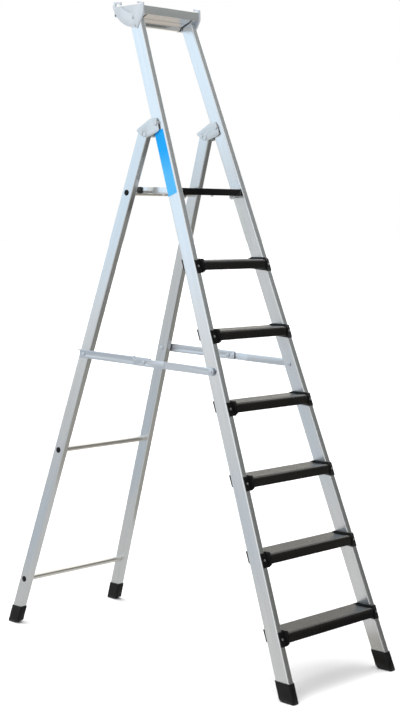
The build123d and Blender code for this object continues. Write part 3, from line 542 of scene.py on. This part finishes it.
# Dark finish on the caps' grooves: painted shade, not the moulding's own colour.
GROOVE_SHADE_FINISH = Moulding(
    "cap_groove_moulding", Slot.CAP, (0.03, 0.032, 0.035), (0.05, 0.052, 0.055), 0.4, 0.5, 1.4, 0.015, 30.0
)


class Wardrobe:
    """Makes each finish once and puts it on pieces."""

    def __init__(self) -> None:
        """Starts with no materials."""
        self.made: dict[str, bpy.types.Material] = {}

    def wear(self, piece: bpy.types.Object, *finishes: Finish) -> None:
        """Gives a piece finishes in place of its own materials.

        Args:
            piece: The object to dress.
            finishes: The finishes that it gets, in the order of its faces' numbers.
        """
        piece.data.materials.clear()
        for finish in finishes:
            if finish.name not in self.made:
                self.made[finish.name] = finish.make()
            piece.data.materials.append(self.made[finish.name])


class Rounded(Enum):
    """What a bevel rounds, by Blender's names."""

    EDGES = "EDGES"
    CORNERS = "VERTICES"


class Shape:
    """A mesh in the making, which becomes one piece of the ladder."""

    def __init__(self) -> None:
        """Starts with an empty mesh."""
        self.mesh = bmesh.new()

    @classmethod
    def of_node(cls, name: str) -> "Shape":
        """Copies a CAD node, with its triangles merged and its flat faces joined.

        Args:
            name: Name of the node.

        Returns:
            The copy.
        """
        shape = cls()
        shape.mesh.from_mesh(frame["nodes"][name].data)
        bmesh.ops.remove_doubles(shape.mesh, verts=shape.mesh.verts, dist=NODE_MERGE)
        bmesh.ops.dissolve_limit(
            shape.mesh, angle_limit=math.radians(FLAT), verts=shape.mesh.verts, edges=shape.mesh.edges
        )
        return shape

    @classmethod
    def sheet(cls, length: float, width: float) -> "Shape":
        """Starts from a flat sheet round the origin.

        Args:
            length: Size along x in metres.
            width: Size along y in metres.

        Returns:
            The sheet.
        """
        shape = cls()
        bmesh.ops.create_grid(shape.mesh, x_segments=1, y_segments=1, size=0.5)
        bmesh.ops.scale(shape.mesh, vec=(length, width, 1.0), verts=shape.mesh.verts)
        return shape

    def bevel(
        self,
        geometry: list[bmesh.types.BMEdge] | list[bmesh.types.BMVert],
        width: float,
        segments: int,
        rounded: Rounded = Rounded.EDGES,
        clamp: bool = False,
    ) -> None:
        """Rounds some edges or corners.

        Args:
            geometry: The edges or vertices.
            width: Width of the rounding in metres.
            segments: Number of faces across it.
            rounded: Whether these are edges or corners.
            clamp: Whether the rounding stops where it would meet another.
        """
        bmesh.ops.bevel(
            self.mesh,
            geom=geometry,
            offset=width,
            offset_type="OFFSET",
            affect=rounded.value,
            segments=segments,
            profile=0.5,
            material=-1,
            clamp_overlap=clamp,
        )

    def round_corners(self, radius: float, segments: int = 5) -> None:
        """Rounds the corners of a flat sheet."""
        self.bevel(self.mesh.verts[:], radius, segments, Rounded.CORNERS)

    def thicken(self, thickness: float) -> None:
        """Draws a flat sheet up into a plate.

        Args:
            thickness: Height of the plate in metres.
        """
        grown = bmesh.ops.extrude_face_region(self.mesh, geom=self.mesh.faces[:])
        upper = [item for item in grown["geom"] if isinstance(item, bmesh.types.BMVert)]
        bmesh.ops.translate(self.mesh, vec=(0.0, 0.0, thickness), verts=upper)
        bmesh.ops.recalc_face_normals(self.mesh, faces=self.mesh.faces)

    def soften(self, width: float, segments: int = 2) -> None:
        """Rounds every sharp edge.

        Args:
            width: Width of the rounding in metres.
            segments: Number of faces across it.
        """
        edges = [
            edge
            for edge in self.mesh.edges
            if edge.is_manifold and edge.calc_face_angle() > math.radians(SHARP)
        ]
        self.bevel(edges, width, segments, clamp=True)

    def round_sole(self, radius: float, segments: int = 4) -> None:
        """Rounds the edges that lie on the floor.

        Args:
            radius: Width of the rounding in metres.
            segments: Number of faces across it.
        """
        edges = [
            edge
            for edge in self.mesh.edges
            if all(abs(vertex.co.z) < FLOOR_NEAR for vertex in edge.verts)
            and edge.calc_face_angle() > math.radians(SHARP)
        ]
        self.bevel(edges, radius, segments)

    def ends(self, facing: Vector) -> list[Vector]:
        """Finds the middle of the end of each separate solid that looks one way.

        Args:
            facing: Direction that the ends look.

        Returns:
            The middles, in the order of their places.
        """
        middles = []
        waiting = set(self.mesh.verts)
        while waiting:
            island = []
            edge_of_search = [waiting.pop()]
            while edge_of_search:
                vertex = edge_of_search.pop()
                island.append(vertex.co)
                near = {edge.other_vert(vertex) for edge in vertex.link_edges} & waiting
                waiting -= near
                edge_of_search.extend(near)
            reach = max(point.dot(facing) for point in island)
            end = [point for point in island if point.dot(facing) > reach - END_NEAR]
            middles.append(Vector([(min(axis) + max(axis)) / 2 for axis in zip(*end)]))
        return sorted(middles, key=tuple)

    @classmethod
    def crown(cls, radius: float, height: float, hole: float) -> "Shape":
        """Makes a domed rivet head on the origin, with a hole whose floor gets the second finish, a dark
        painted shade.

        Args:
            radius: Radius of the head in metres.
            height: Height of the dome in metres.
            hole: Radius of the hole in metres.

        Returns:
            The head, looking along z.
        """
        head = cls()
        section = [(reach * hole, rise) for reach, rise in HOLE_SECTION]
        section += [(reach * radius, rise) for reach, rise in HEAD_SECTION]
        points = [head.mesh.verts.new((reach, 0.0, rise * height)) for reach, rise in section]
        edges = [head.mesh.edges.new(pair) for pair in zip(points, points[1:])]
        bmesh.ops.spin(
            head.mesh,
            geom=points + edges,
            cent=(0.0, 0.0, 0.0),
            axis=(0.0, 0.0, 1.0),
            angle=math.tau,
            steps=HEAD_STEPS,
            use_merge=True,
        )
        bmesh.ops.remove_doubles(head.mesh, verts=head.mesh.verts, dist=TURNED_MERGE)
        bmesh.ops.holes_fill(head.mesh, edges=head.mesh.edges)
        bmesh.ops.recalc_face_normals(head.mesh, faces=head.mesh.faces)
        # The hole's floor gets material 1, which is painted shade.
        for face in head.mesh.faces:
            middle = face.calc_center_median()
            is_floor = middle.xy.length < hole and 0.0 < middle.z < HOLE_FLOOR * height
            face.material_index = int(is_floor)
        return head

    def join(self, other: "Shape", place: Matrix) -> None:
        """Adds a placed copy of another shape.

        Args:
            other: The shape to copy.
            place: Where the copy goes.
        """
        mesh = bpy.data.meshes.new("copy")
        other.mesh.to_mesh(mesh)
        mesh.transform(place)
        self.mesh.from_mesh(mesh)
        bpy.data.meshes.remove(mesh)

    def cut_end(self, side: Side, place: float) -> None:
        """Keeps only what lies past a plane across x, and closes the cut.

        Args:
            side: Side that is kept.
            place: Where the plane crosses x in metres.
        """
        geometry = self.mesh.verts[:] + self.mesh.edges[:] + self.mesh.faces[:]
        bmesh.ops.bisect_plane(
            self.mesh,
            geom=geometry,
            plane_co=(place, 0.0, 0.0),
            plane_no=(side.value, 0.0, 0.0),
            clear_inner=True,
        )
        bmesh.ops.holes_fill(self.mesh, edges=[edge for edge in self.mesh.edges if edge.is_boundary])

    def finish(self, name: str) -> bpy.types.Object:
        """Makes the mesh an object of the scene.

        Args:
            name: Name of the object.

        Returns:
            The object, at the origin.
        """
        mesh = bpy.data.meshes.new(name)
        self.mesh.to_mesh(mesh)
        self.mesh.free()
        mesh.shade_smooth()
        mesh.set_sharp_from_angle(angle=math.radians(SHARP))
        piece = bpy.data.objects.new(name, mesh)
        bpy.context.scene.collection.objects.link(piece)
        return piece


class Facing(Enum):
    """Ways that the heads of a fastener look."""

    BOTH_SIDES = "both sides"
    OUT = "out"
    IN = "in"
    FRONT = "front"


@dataclass(frozen=True)
class Rivet:
    """Domed head of a rivet, pin or screw.

    Attributes:
        radius: Radius of the dome in millimetres.
        height: Height of the dome in millimetres.
        hole: Radius of the hole in its middle in millimetres.
        facing: Ways that the heads look.
    """

    radius: float
    height: float
    hole: float
    facing: Facing = Facing.BOTH_SIDES

    def facings(self) -> list[Vector]:
        """Gives the directions that the heads look.

        Returns:
            The directions.
        """
        if self.facing is Facing.FRONT:
            lean = math.radians(FRONT_LEAN)
            return [Vector((0.0, -math.sin(lean), math.cos(lean)))]
        return [Vector((side.value, 0.0, 0.0)) for side in Side]

    def shows(self, looking: Vector, middle: Vector) -> bool:
        """Tells whether a head, by the way that it looks and its middle, gets a dome."""
        outward = looking.x * middle.x > 0
        return {Facing.OUT: outward, Facing.IN: not outward}.get(self.facing, True)


HINGE_RIVET = Rivet(7.3, 0.35, 1.3)
HINGE_PIN = Rivet(8.3, 0.35, 1.3)
PIVOT_PIN = Rivet(6.0, 0.8, 1.5)
STRUT_RIVET = Rivet(7.3, 0.6, 1.9)
STRUT_END_RIVET = Rivet(7.3, 0.6, 1.9, Facing.OUT)
STRUT_LEG_RIVET = Rivet(7.3, 0.6, 1.9, Facing.IN)
CAP_RIVET = Rivet(4.3, 0.7, 1.7)
BRACKET_SCREW = Rivet(4.2, 0.6, 1.8, Facing.FRONT)


@dataclass
class Assembly:
    """Part of the ladder that is built and dressed together.

    Attributes:
        wardrobe: What puts finishes on the pieces.
    """

    wardrobe: Wardrobe

    def dress(self, finish: Finish, *names: str) -> None:
        """Gives CAD nodes a finish.

        Args:
            finish: The finish that they get.
            names: Names of the nodes.
        """
        for name in names:
            self.wardrobe.wear(frame["nodes"][name], finish)
            log.info("dressed %s in %s", name, finish.name)

    def add(self, shape: Shape, name: str, body: str, *finishes: Finish) -> bpy.types.Object:
        """Makes a shape a dressed piece of the ladder.

        Args:
            shape: The finished shape.
            name: Name of the piece.
            body: Body that it moves with.
            finishes: Finishes of its faces.

        Returns:
            The piece.
        """
        piece = shape.finish(name)
        self.wardrobe.wear(piece, *finishes)
        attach(piece, body)
        log.info("built %s on %s", name, body)
        return piece

    def stand_in(self, shape: Shape, node: str, *finishes: Finish) -> None:
        """Makes a shape, in the finishes of its faces, the piece that is shown for a CAD node."""
        body = body_of(frame["nodes"][node])[0]
        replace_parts(self.add(shape, f"{node}_eased", body, *finishes), node)

    def ease(self, finish: Finish, width: float, *names: str) -> None:
        """Shows CAD nodes with their edges eased.

        Args:
            finish: The finish that they get.
            width: Width of the easing in millimetres.
            names: Names of the nodes.
        """
        for name in names:
            shape = Shape.of_node(name)
            shape.soften(width * MM)
            self.stand_in(shape, name, finish)

    def ease_feet(self, sole: float, width: float, *names: str) -> None:
        """Shows feet with rounded soles and eased edges.

        Args:
            sole: Rounding of the soles in millimetres.
            width: Width of the easing in millimetres.
            names: Names of the nodes.
        """
        for name in names:
            shape = Shape.of_node(name)
            shape.round_sole(sole * MM)
            shape.soften(width * MM)
            self.stand_in(shape, name, FOOT_FINISH)

    def crown(self, node: str, rivet: Rivet, finish: Finish) -> None:
        """Dresses pins, rivets or screws and gives their heads domes.

        Args:
            node: Name of the CAD node.
            rivet: Sizes of the domes.
            finish: The finish of the node and the domes, whose holes' floors get painted shade instead.
        """
        self.dress(finish, node)
        copy = Shape.of_node(node)
        dome = Shape.crown(rivet.radius * MM, rivet.height * MM, rivet.hole * MM)
        domes = Shape()
        for facing in rivet.facings():
            turn = facing.to_track_quat("Z", "Y").to_matrix().to_4x4()
            for middle in copy.ends(facing):
                if rivet.shows(facing, middle):
                    domes.join(dome, Matrix.Translation(middle) @ turn)
        copy.mesh.free()
        dome.mesh.free()
        body = body_of(frame["nodes"][node])[0]
        # The floors of the domes' holes get painted shade.
        self.add(domes, f"{node}_domes", body, finish, HOLE_SHADE_FINISH)


@dataclass
class FrontFrame(Assembly):
    """Stiles, treads, brackets, feet and pins of the climbing side.

    Attributes:
        treads: Number of treads.
        bracket_edge: Easing of the brackets in millimetres.
        foot_edge: Easing of the feet in millimetres.
        sole_round: Rounding of the soles in millimetres.
        foot_y: Where the stiles' front faces meet the floor, in millimetres.
        half_width: Half width over the stiles at the floor in millimetres.
        splay: Share of the stiles' length that they come in by.
        strip_low: Lower end of the strip, up the stile, in millimetres.
        strip_high: Upper end of the strip, up the stile, in millimetres.
        strip_front: Distance of the strip from the stile's front face in millimetres.
        strip_width: Width of the strip in millimetres.
        strip_thick: Thickness of the strip in millimetres.
        strip_corner: Radius of the strip's corners in millimetres.
        strip_lift: Height of the strip over the stile in millimetres.
        strip_tone: Colour of the strip's upper end.
        strip_pale: Colour of the strip's lower end.
    """

    treads: int = 6
    bracket_edge: float = 1.0
    foot_edge: float = 1.0
    sole_round: float = 5.0
    foot_y: float = -709.93
    half_width: float = 263.5
    splay: float = 0.05
    strip_low: float = 1726.0
    strip_high: float = 1967.0
    strip_front: float = 8.0
    strip_width: float = 44.0
    strip_thick: float = 0.25
    strip_corner: float = 1.5
    strip_lift: float = 0.05
    strip_tone: tuple[float, float, float] = (0.0, 0.40, 1.0)
    strip_pale: tuple[float, float, float] = (0.09, 0.52, 1.0)

    def build(self) -> None:
        """Builds and dresses the front frame."""
        numbers = range(1, self.treads + 1)
        self.dress(STILE_FINISH, "left_stile", "right_stile")
        self.dress(TREAD_FINISH, *(f"tread_{number}" for number in numbers))
        self.ease(BLACK_FINISH, self.bracket_edge, *(f"tread_{number}_brackets" for number in numbers))
        self.ease(BUFFER_FINISH, self.bracket_edge, "hinge_buffers")
        self.ease_feet(self.sole_round, self.foot_edge, "front_foot_left", "front_foot_right")
        self.crown("hinge_pins", HINGE_PIN, HINGE_FINISH)
        self.crown("platform_pivot_pins", PIVOT_PIN, STEEL_FINISH)
        self.crown("bracket_screws", BRACKET_SCREW, STEEL_FINISH)
        self.build_strip()

    def build_strip(self) -> None:
        """Sticks a plain strip of film on the left stile's outer face."""
        lean = math.radians(FRONT_LEAN)
        up = (self.strip_low + self.strip_high) / 2
        back = self.strip_front + self.strip_width / 2
        along = Vector((self.splay, math.cos(lean), math.sin(lean))).normalized()
        inward = Vector((0.0, math.sin(lean), -math.cos(lean)))
        out = along.cross(inward).normalized()
        middle = Vector(
            (
                self.splay * up - self.half_width,
                self.foot_y + up * math.cos(lean) + back * math.sin(lean),
                up * math.sin(lean) - back * math.cos(lean),
            )
        )
        place = Matrix((along, inward, out)).transposed().to_4x4()
        place.translation = (middle + self.strip_lift * out) * MM
        shape = Shape.sheet((self.strip_high - self.strip_low) * MM, self.strip_width * MM)
        shape.round_corners(self.strip_corner * MM)
        shape.thicken(self.strip_thick * MM)
        bmesh.ops.transform(shape.mesh, matrix=place, verts=shape.mesh.verts)
        half = (self.strip_high - self.strip_low) * math.sin(lean) / 2
        film = Film("blue_film", self.strip_tone, self.strip_pale, middle.z - half, 2 * half)
        self.add(shape, "blank_strip", FRONT_BODY, film)


@dataclass
class RearFrame(Assembly):
    """Legs, rungs, plugs, hinge plates and feet.

    Attributes:
        foot_edge: Easing of the feet in millimetres.
        sole_round: Rounding of the soles in millimetres.
        plug_edge: Easing of the plugs in millimetres.
        plate_edge: Easing of the hinge plates in millimetres.
    """

    foot_edge: float = 1.0
    sole_round: float = 5.0
    plug_edge: float = 0.6
    plate_edge: float = 0.6

    def build(self) -> None:
        """Builds and dresses the rear frame."""
        self.dress(LEG_FINISH, "left_rear_leg", "right_rear_leg")
        self.dress(RUNG_FINISH, "rear_rung_bottom", "rear_rung_middle", "rear_rung_top")
        self.ease(BLACK_FINISH, self.plug_edge, "rung_plugs")
        self.ease_feet(self.sole_round, self.foot_edge, "rear_foot_left", "rear_foot_right")
        for place in ("outer", "inner"):
            plates = (f"hinge_plate_{place}_{side.name.lower()}" for side in Side)
            self.ease(HINGE_FINISH, self.plate_edge, *plates)
        self.crown("hinge_rivets", HINGE_RIVET, HINGE_FINISH)
        self.crown("strut_leg_rivets", STRUT_LEG_RIVET, STRUT_FINISH)


@dataclass
class Platform(Assembly):
    """Deck, side plates, nosing and hooks.

    Attributes:
        plate_edge: Easing of the side plates in millimetres.
        nosing_edge: Easing of the nosing in millimetres.
        hook_edge: Easing of the hooks in millimetres.
    """

    plate_edge: float = 0.4
    nosing_edge: float = 0.8
    hook_edge: float = 0.8

    def build(self) -> None:
        """Builds and dresses the platform."""
        self.dress(DECK_FINISH, "platform_deck")
        self.ease(SIDE_FINISH, self.plate_edge, "platform_side_left", "platform_side_right")
        self.ease(BLACK_FINISH, self.nosing_edge, "platform_nosing")
        self.ease(HOOK_FINISH, self.hook_edge, "platform_hook_left", "platform_hook_right")


@dataclass
class Spreaders(Assembly):
    """The two folding spreaders.

    Attributes:
        plate_edge: Easing of the struts in millimetres.
    """

    plate_edge: float = 0.4

    def build(self) -> None:
        """Builds and dresses the spreaders."""
        for side in Side:
            label = side.name.lower()
            self.ease(STRUT_FINISH, self.plate_edge, f"front_strut_{label}", f"rear_strut_{label}")
            self.crown(f"strut_middle_rivet_{label}", STRUT_RIVET, STRUT_FINISH)
            self.crown(f"strut_end_rivet_{label}", STRUT_END_RIVET, STRUT_FINISH)
        self.crown("strut_stile_rivets", STRUT_RIVET, STRUT_FINISH)


@dataclass
class ToolTray(Assembly):
    """Rails, trough, end caps, and black sleeves at the trough's ends that stand in for the shade in the
    gaps by the stiles.

    Attributes:
        cap_edge: Easing of the end caps in millimetres.
        groove_least: Least depth of the groove in a cap in millimetres, from which its faces get painted
            shade.
        groove_most: Most depth of the middle of its walls in millimetres.
        groove_facing: Least share of a normal that looks outwards on the groove's floor.
        shade_lap: Length of trough that each black sleeve wraps in millimetres.
        shade_out: How far each black sleeve stands out past the trough in millimetres.
        shade_swell: Share that a black sleeve's outline is larger than the trough's.
    """

    cap_edge: float = 0.7
    groove_least: float = 0.5
    groove_most: float = 0.9
    groove_facing: float = 0.9
    shade_lap: float = 3.0
    shade_out: float = 2.9
    shade_swell: float = 0.006

    def build(self) -> None:
        """Builds and dresses the tray."""
        self.dress(TRAY_FINISH, "tray_trough")
        self.dress(RAIL_FINISH, "tray_front_rail", "tray_rear_rail")
        self.crown("tray_cap_rivets", CAP_RIVET, STEEL_FINISH)
        for side in Side:
            self.build_cap(side)
            self.build_gap_shade(side)

    def build_cap(self, side: Side) -> None:
        """Shows an end cap with eased edges and its groove painted dark as shade.

        Args:
            side: Which end.
        """
        node = f"tray_cap_{side.name.lower()}"
        shape = Shape.of_node(node)
        outer = max(side.value * vertex.co.x for vertex in shape.mesh.verts)
        # Faces in the groove get the dark second finish, which is painted shade.
        for face in shape.mesh.faces:
            depth = outer - side.value * face.calc_center_median().x
            is_floor = side.value * face.normal.x > self.groove_facing
            reach = math.inf if is_floor else self.groove_most * MM
            face.material_index = int(self.groove_least * MM < depth < reach)
        shape.soften(self.cap_edge * MM)
        self.stand_in(shape, node, CAP_FINISH, GROOVE_SHADE_FINISH)

    def build_gap_shade(self, side: Side) -> None:
        """Wraps a black sleeve round one end of the trough, as painted shade for the gap between the trough
        and the stile.

        Args:
            side: Which end.
        """
        low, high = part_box("tray_trough")
        end = side.value * high.x
        shape = Shape.of_node("tray_trough")
        shape.cut_end(side, end - side.value * (self.shade_lap + self.shade_out) * MM)
        swell = 1.0 + self.shade_swell
        bmesh.ops.scale(
            shape.mesh,
            vec=(1.0, swell, swell),
            space=Matrix.Translation(-(low + high) / 2),
            verts=shape.mesh.verts,
        )
        out = Vector((side.value * self.shade_out * MM, 0.0, 0.0))
        bmesh.ops.translate(shape.mesh, vec=out, verts=shape.mesh.verts)
        self.add(shape, f"trough_seal_{side.name.lower()}", FRONT_BODY, GAP_SHADE_FINISH)


@dataclass(frozen=True)
class Card:
    """Studio card that only shows in gloss.

    Attributes:
        name: Name of the card.
        size: Width and height in metres.
        place: Where its middle is.
        turn: Turn about z in degrees.
        tilt: Angle from lying flat in degrees.
        low: Light that it shows at its lower end, red, green and blue.
        high: Light that it shows at its upper end, where it differs.
    """

    name: str
    size: tuple[float, float]
    place: tuple[float, float, float]
    turn: float
    tilt: float
    low: tuple[float, float, float]
    high: tuple[float, float, float] | None = None

    def span(self) -> tuple[float, float]:
        """Gives the heights of the card's lower and upper ends in metres, never the same."""
        half = max(math.sin(math.radians(self.tilt)) * self.size[1] / 2, MM)
        return self.place[2] - half, self.place[2] + half

    def matrix(self) -> Matrix:
        """Gives the card's place in the studio.

        Returns:
            The matrix that puts a flat sheet there.
        """
        turned = Matrix.Rotation(math.radians(self.turn), 4, "Z")
        tilted = Matrix.Rotation(math.radians(self.tilt), 4, "X")
        return Matrix.Translation(self.place) @ turned @ tilted


@dataclass(frozen=True)
class Lamp:
    """Far soft lamp.

    Attributes:
        name: Name of the lamp.
        aim: Direction that it shines along.
        spread: Angle that it fills, in degrees.
        power: Strength of its light.
    """

    name: str
    aim: tuple[float, float, float]
    spread: float
    power: float


def seen_rays(tree: bpy.types.NodeTree) -> bpy.types.NodeSocket:
    """Adds a test for rays by which the camera sees a backdrop, straight or in metal or glass.

    Args:
        tree: Node tree of the backdrop's material or world.

    Returns:
        The socket, which gives 1 for those rays and 0 for the others.
    """
    light_path = tree.nodes.new("ShaderNodeLightPath")
    seen = light_path.outputs["Is Camera Ray"]
    for ray in ("Is Glossy Ray", "Is Transmission Ray"):
        either = tree.nodes.new("ShaderNodeMath")
        either.operation = "MAXIMUM"
        tree.links.new(seen, either.inputs[0])
        tree.links.new(light_path.outputs[ray], either.inputs[1])
        seen = either.outputs["Value"]
    return seen


# Side of the floor, and of the card that lies over it, in metres
FLOOR_SIZE = 200.0

# Light that the two dark flags show at their lower and upper ends
FLAG_LOW = (0.15, 0.15, 0.14)
FLAG_HIGH = (0.31, 0.325, 0.32)


@dataclass
class Studio:
    """Floor, lights, cards and camera.

    Attributes:
        floor_tone: Colour of the floor in the light that it throws back.
        floor_seen: Colour of the floor as the camera sees it, straight or in gloss where no card hides it.
        world_light: Strength of the surrounding light.
        cards: Cards that shade or brighten the gloss, one of them over the whole floor.
        lamps: Lamps that light the ladder.
        camera_place: Place of the camera.
        camera_tilt: Angle of the camera from looking straight down, in degrees.
        camera_turn: Turn of the camera about z, in degrees.
        focal_pixels: Focal length in pixels of the picture.
        picture: Width and height of the picture in pixels.
        axis_pixel: Pixel that the camera's axis passes through.
    """

    floor_tone: tuple[float, float, float] = (0.44, 0.433, 0.421)
    floor_seen: tuple[float, float, float] = (0.97, 0.97, 0.975)
    world_light: float = 0.6
    cards: tuple[Card, ...] = (
        Card("side_flag", (3.4, 7.5), (2.36, -2.45, 2.5), 44.0, 90.0, FLAG_LOW, FLAG_HIGH),
        Card("front_flag", (3.2, 7.5), (-0.77, -3.3, 2.5), -13.0, 90.0, FLAG_LOW, FLAG_HIGH),
        Card("floor_flag", (FLOOR_SIZE, FLOOR_SIZE), (0.0, 0.0, 0.01), 0.0, 0.0, (0.65, 0.64, 0.622)),
        Card("far_floor_flag", (3.6, 5.0), (2.5, -1.83, 0.02), -38.7, 0.0, (0.3, 0.29, 0.26)),
        Card("near_floor_flag", (1.0, 4.0), (0.7, -0.39, 0.02), -38.7, 0.0, (0.4, 0.38, 0.34)),
        Card("warm_floor_card", (3.5, 3.5), (2.8, 1.9, 0.02), 30.0, 0.0, (0.62, 0.55, 0.48)),
        Card("warm_card", (7.0, 4.0), (3.6, 3.6, 2.0), -45.0, 90.0, (1.12, 1.1, 1.02)),
        Card("soft_box", (2.6, 1.1), (3.36, 0.3, 3.59), 103.0, 50.0, (2.4, 2.36, 2.28)),
        Card("step_flag", (1.4, 1.2), (0.65, -1.45, 0.03), -38.7, 0.0, (0.08, 0.08, 0.08)),
        Card("cool_floor_card", (6.0, 5.0), (-3.0, 3.2, 0.02), 45.0, 0.0, (0.55, 0.6, 0.65)),
        Card("cool_card", (9.0, 6.0), (-4.6, 4.6, 4.45), 45.0, 90.0, (0.9, 1.05, 1.18), (1.02, 1.14, 1.16)),
    )
    lamps: tuple[Lamp, ...] = (
        Lamp("key_lamp", (0.8, 0.1, -0.75), 35.0, 1.0),
        Lamp("top_lamp", (0.05, -0.2, -1.0), 42.0, 2.3),
    )
    camera_place: tuple[float, float, float] = (-3.7989, -3.7327, 1.5012)
    camera_tilt: float = 90.0
    camera_turn: float = -45.0
    focal_pixels: float = 1482.45
    picture: tuple[int, int] = (400, 717)
    axis_pixel: tuple[float, float] = (177.7, 226.1)

    def build(self) -> None:
        """Sets up everything round the ladder."""
        self.build_world()
        self.build_floor()
        for card in self.cards:
            self.hang_card(card)
        for lamp in self.lamps:
            self.hang_lamp(lamp)
        self.build_camera()
        bpy.context.scene.view_settings.view_transform = "Standard"

    def build_world(self) -> None:
        """Makes a soft surrounding that the camera, metal and glass see as white."""
        world = bpy.data.worlds.new("studio")
        bpy.context.scene.world = world
        world.use_nodes = True
        nodes = world.node_tree.nodes
        links = world.node_tree.links
        strength = nodes.new("ShaderNodeMapRange")
        strength.inputs["To Min"].default_value = self.world_light
        strength.inputs["To Max"].default_value = 1.0
        links.new(seen_rays(world.node_tree), strength.inputs["Value"])
        background = nodes["Background"]
        background.inputs["Color"].default_value = (1.0, 1.0, 1.0, 1.0)
        links.new(strength.outputs["Result"], background.inputs["Strength"])

    def add_sheet(self, name: str, size: tuple[float, float], place: Matrix) -> bpy.types.Object:
        """Adds a flat sheet of the studio.

        Args:
            name: Name of the sheet.
            size: Width and height in metres.
            place: Where it goes.

        Returns:
            The new object.
        """
        shape = Shape.sheet(*size)
        bmesh.ops.transform(shape.mesh, matrix=place, verts=shape.mesh.verts)
        sheet = shape.finish(name)
        return sheet

    def build_floor(self) -> None:
        """Lays a plain pale floor that the camera sees as white where no shadow falls."""
        floor = self.add_sheet("floor", (FLOOR_SIZE, FLOOR_SIZE), Matrix.Identity(4))
        nodes = NodeTree("floor_paint")
        nodes.set(Roughness=1.0, Specular_IOR_Level=0.0)
        nodes.feed(nodes.tones(seen_rays(nodes.tree), self.floor_tone, self.floor_seen), "Base Color")
        floor.data.materials.append(nodes.material)

    def hang_card(self, card: Card) -> None:
        """Hangs a card that only gloss shows.

        Args:
            card: The card.
        """
        sheet = self.add_sheet(card.name, card.size, card.matrix())
        nodes = NodeTree(card.name)
        nodes.set(Base_Color=(0.0, 0.0, 0.0, 1.0), Specular_IOR_Level=0.0, Emission_Strength=1.0)
        height = nodes.add("ShaderNodeSeparateXYZ")
        base, top = card.span()
        nodes.join(nodes.place((1.0, 1.0, top - base), start=base), height.inputs["Vector"])
        tone = nodes.tones(height.outputs["Z"], card.low, card.high or card.low)
        nodes.feed(tone, "Emission Color")
        sheet.data.materials.append(nodes.material)
        sheet.visible_camera = False
        sheet.visible_diffuse = False
        sheet.visible_shadow = False

    def hang_lamp(self, lamp: Lamp) -> None:
        """Hangs a lamp that gloss doesn't show.

        Args:
            lamp: The lamp.
        """
        data = bpy.data.lights.new(lamp.name, "SUN")
        data.angle = math.radians(lamp.spread)
        data.energy = lamp.power
        hung = bpy.data.objects.new(lamp.name, data)
        hung.rotation_euler = Vector(lamp.aim).to_track_quat("-Z", "Y").to_euler()
        hung.visible_glossy = False
        bpy.context.scene.collection.objects.link(hung)

    def build_camera(self) -> None:
        """Sets the camera where the picture was taken from."""
        data = bpy.data.cameras.new("camera")
        width, height = self.picture
        data.lens = self.focal_pixels / height * data.sensor_width
        data.shift_x = (width / 2 - self.axis_pixel[0]) / height
        data.shift_y = (self.axis_pixel[1] - height / 2) / height
        camera = bpy.data.objects.new("camera", data)
        camera.location = self.camera_place
        camera.rotation_euler = (math.radians(self.camera_tilt), 0.0, math.radians(self.camera_turn))
        bpy.context.scene.collection.objects.link(camera)
        bpy.context.scene.camera = camera


def main() -> None:
    """Builds and dresses everything in order."""
    logging.basicConfig(level=logging.INFO)
    wardrobe = Wardrobe()
    for part in (FrontFrame, RearFrame, Platform, Spreaders, ToolTray):
        part(wardrobe).build()
        log.info("finished %s", part.__name__)
    Studio().build()


if __name__ == "__main__":
    main()
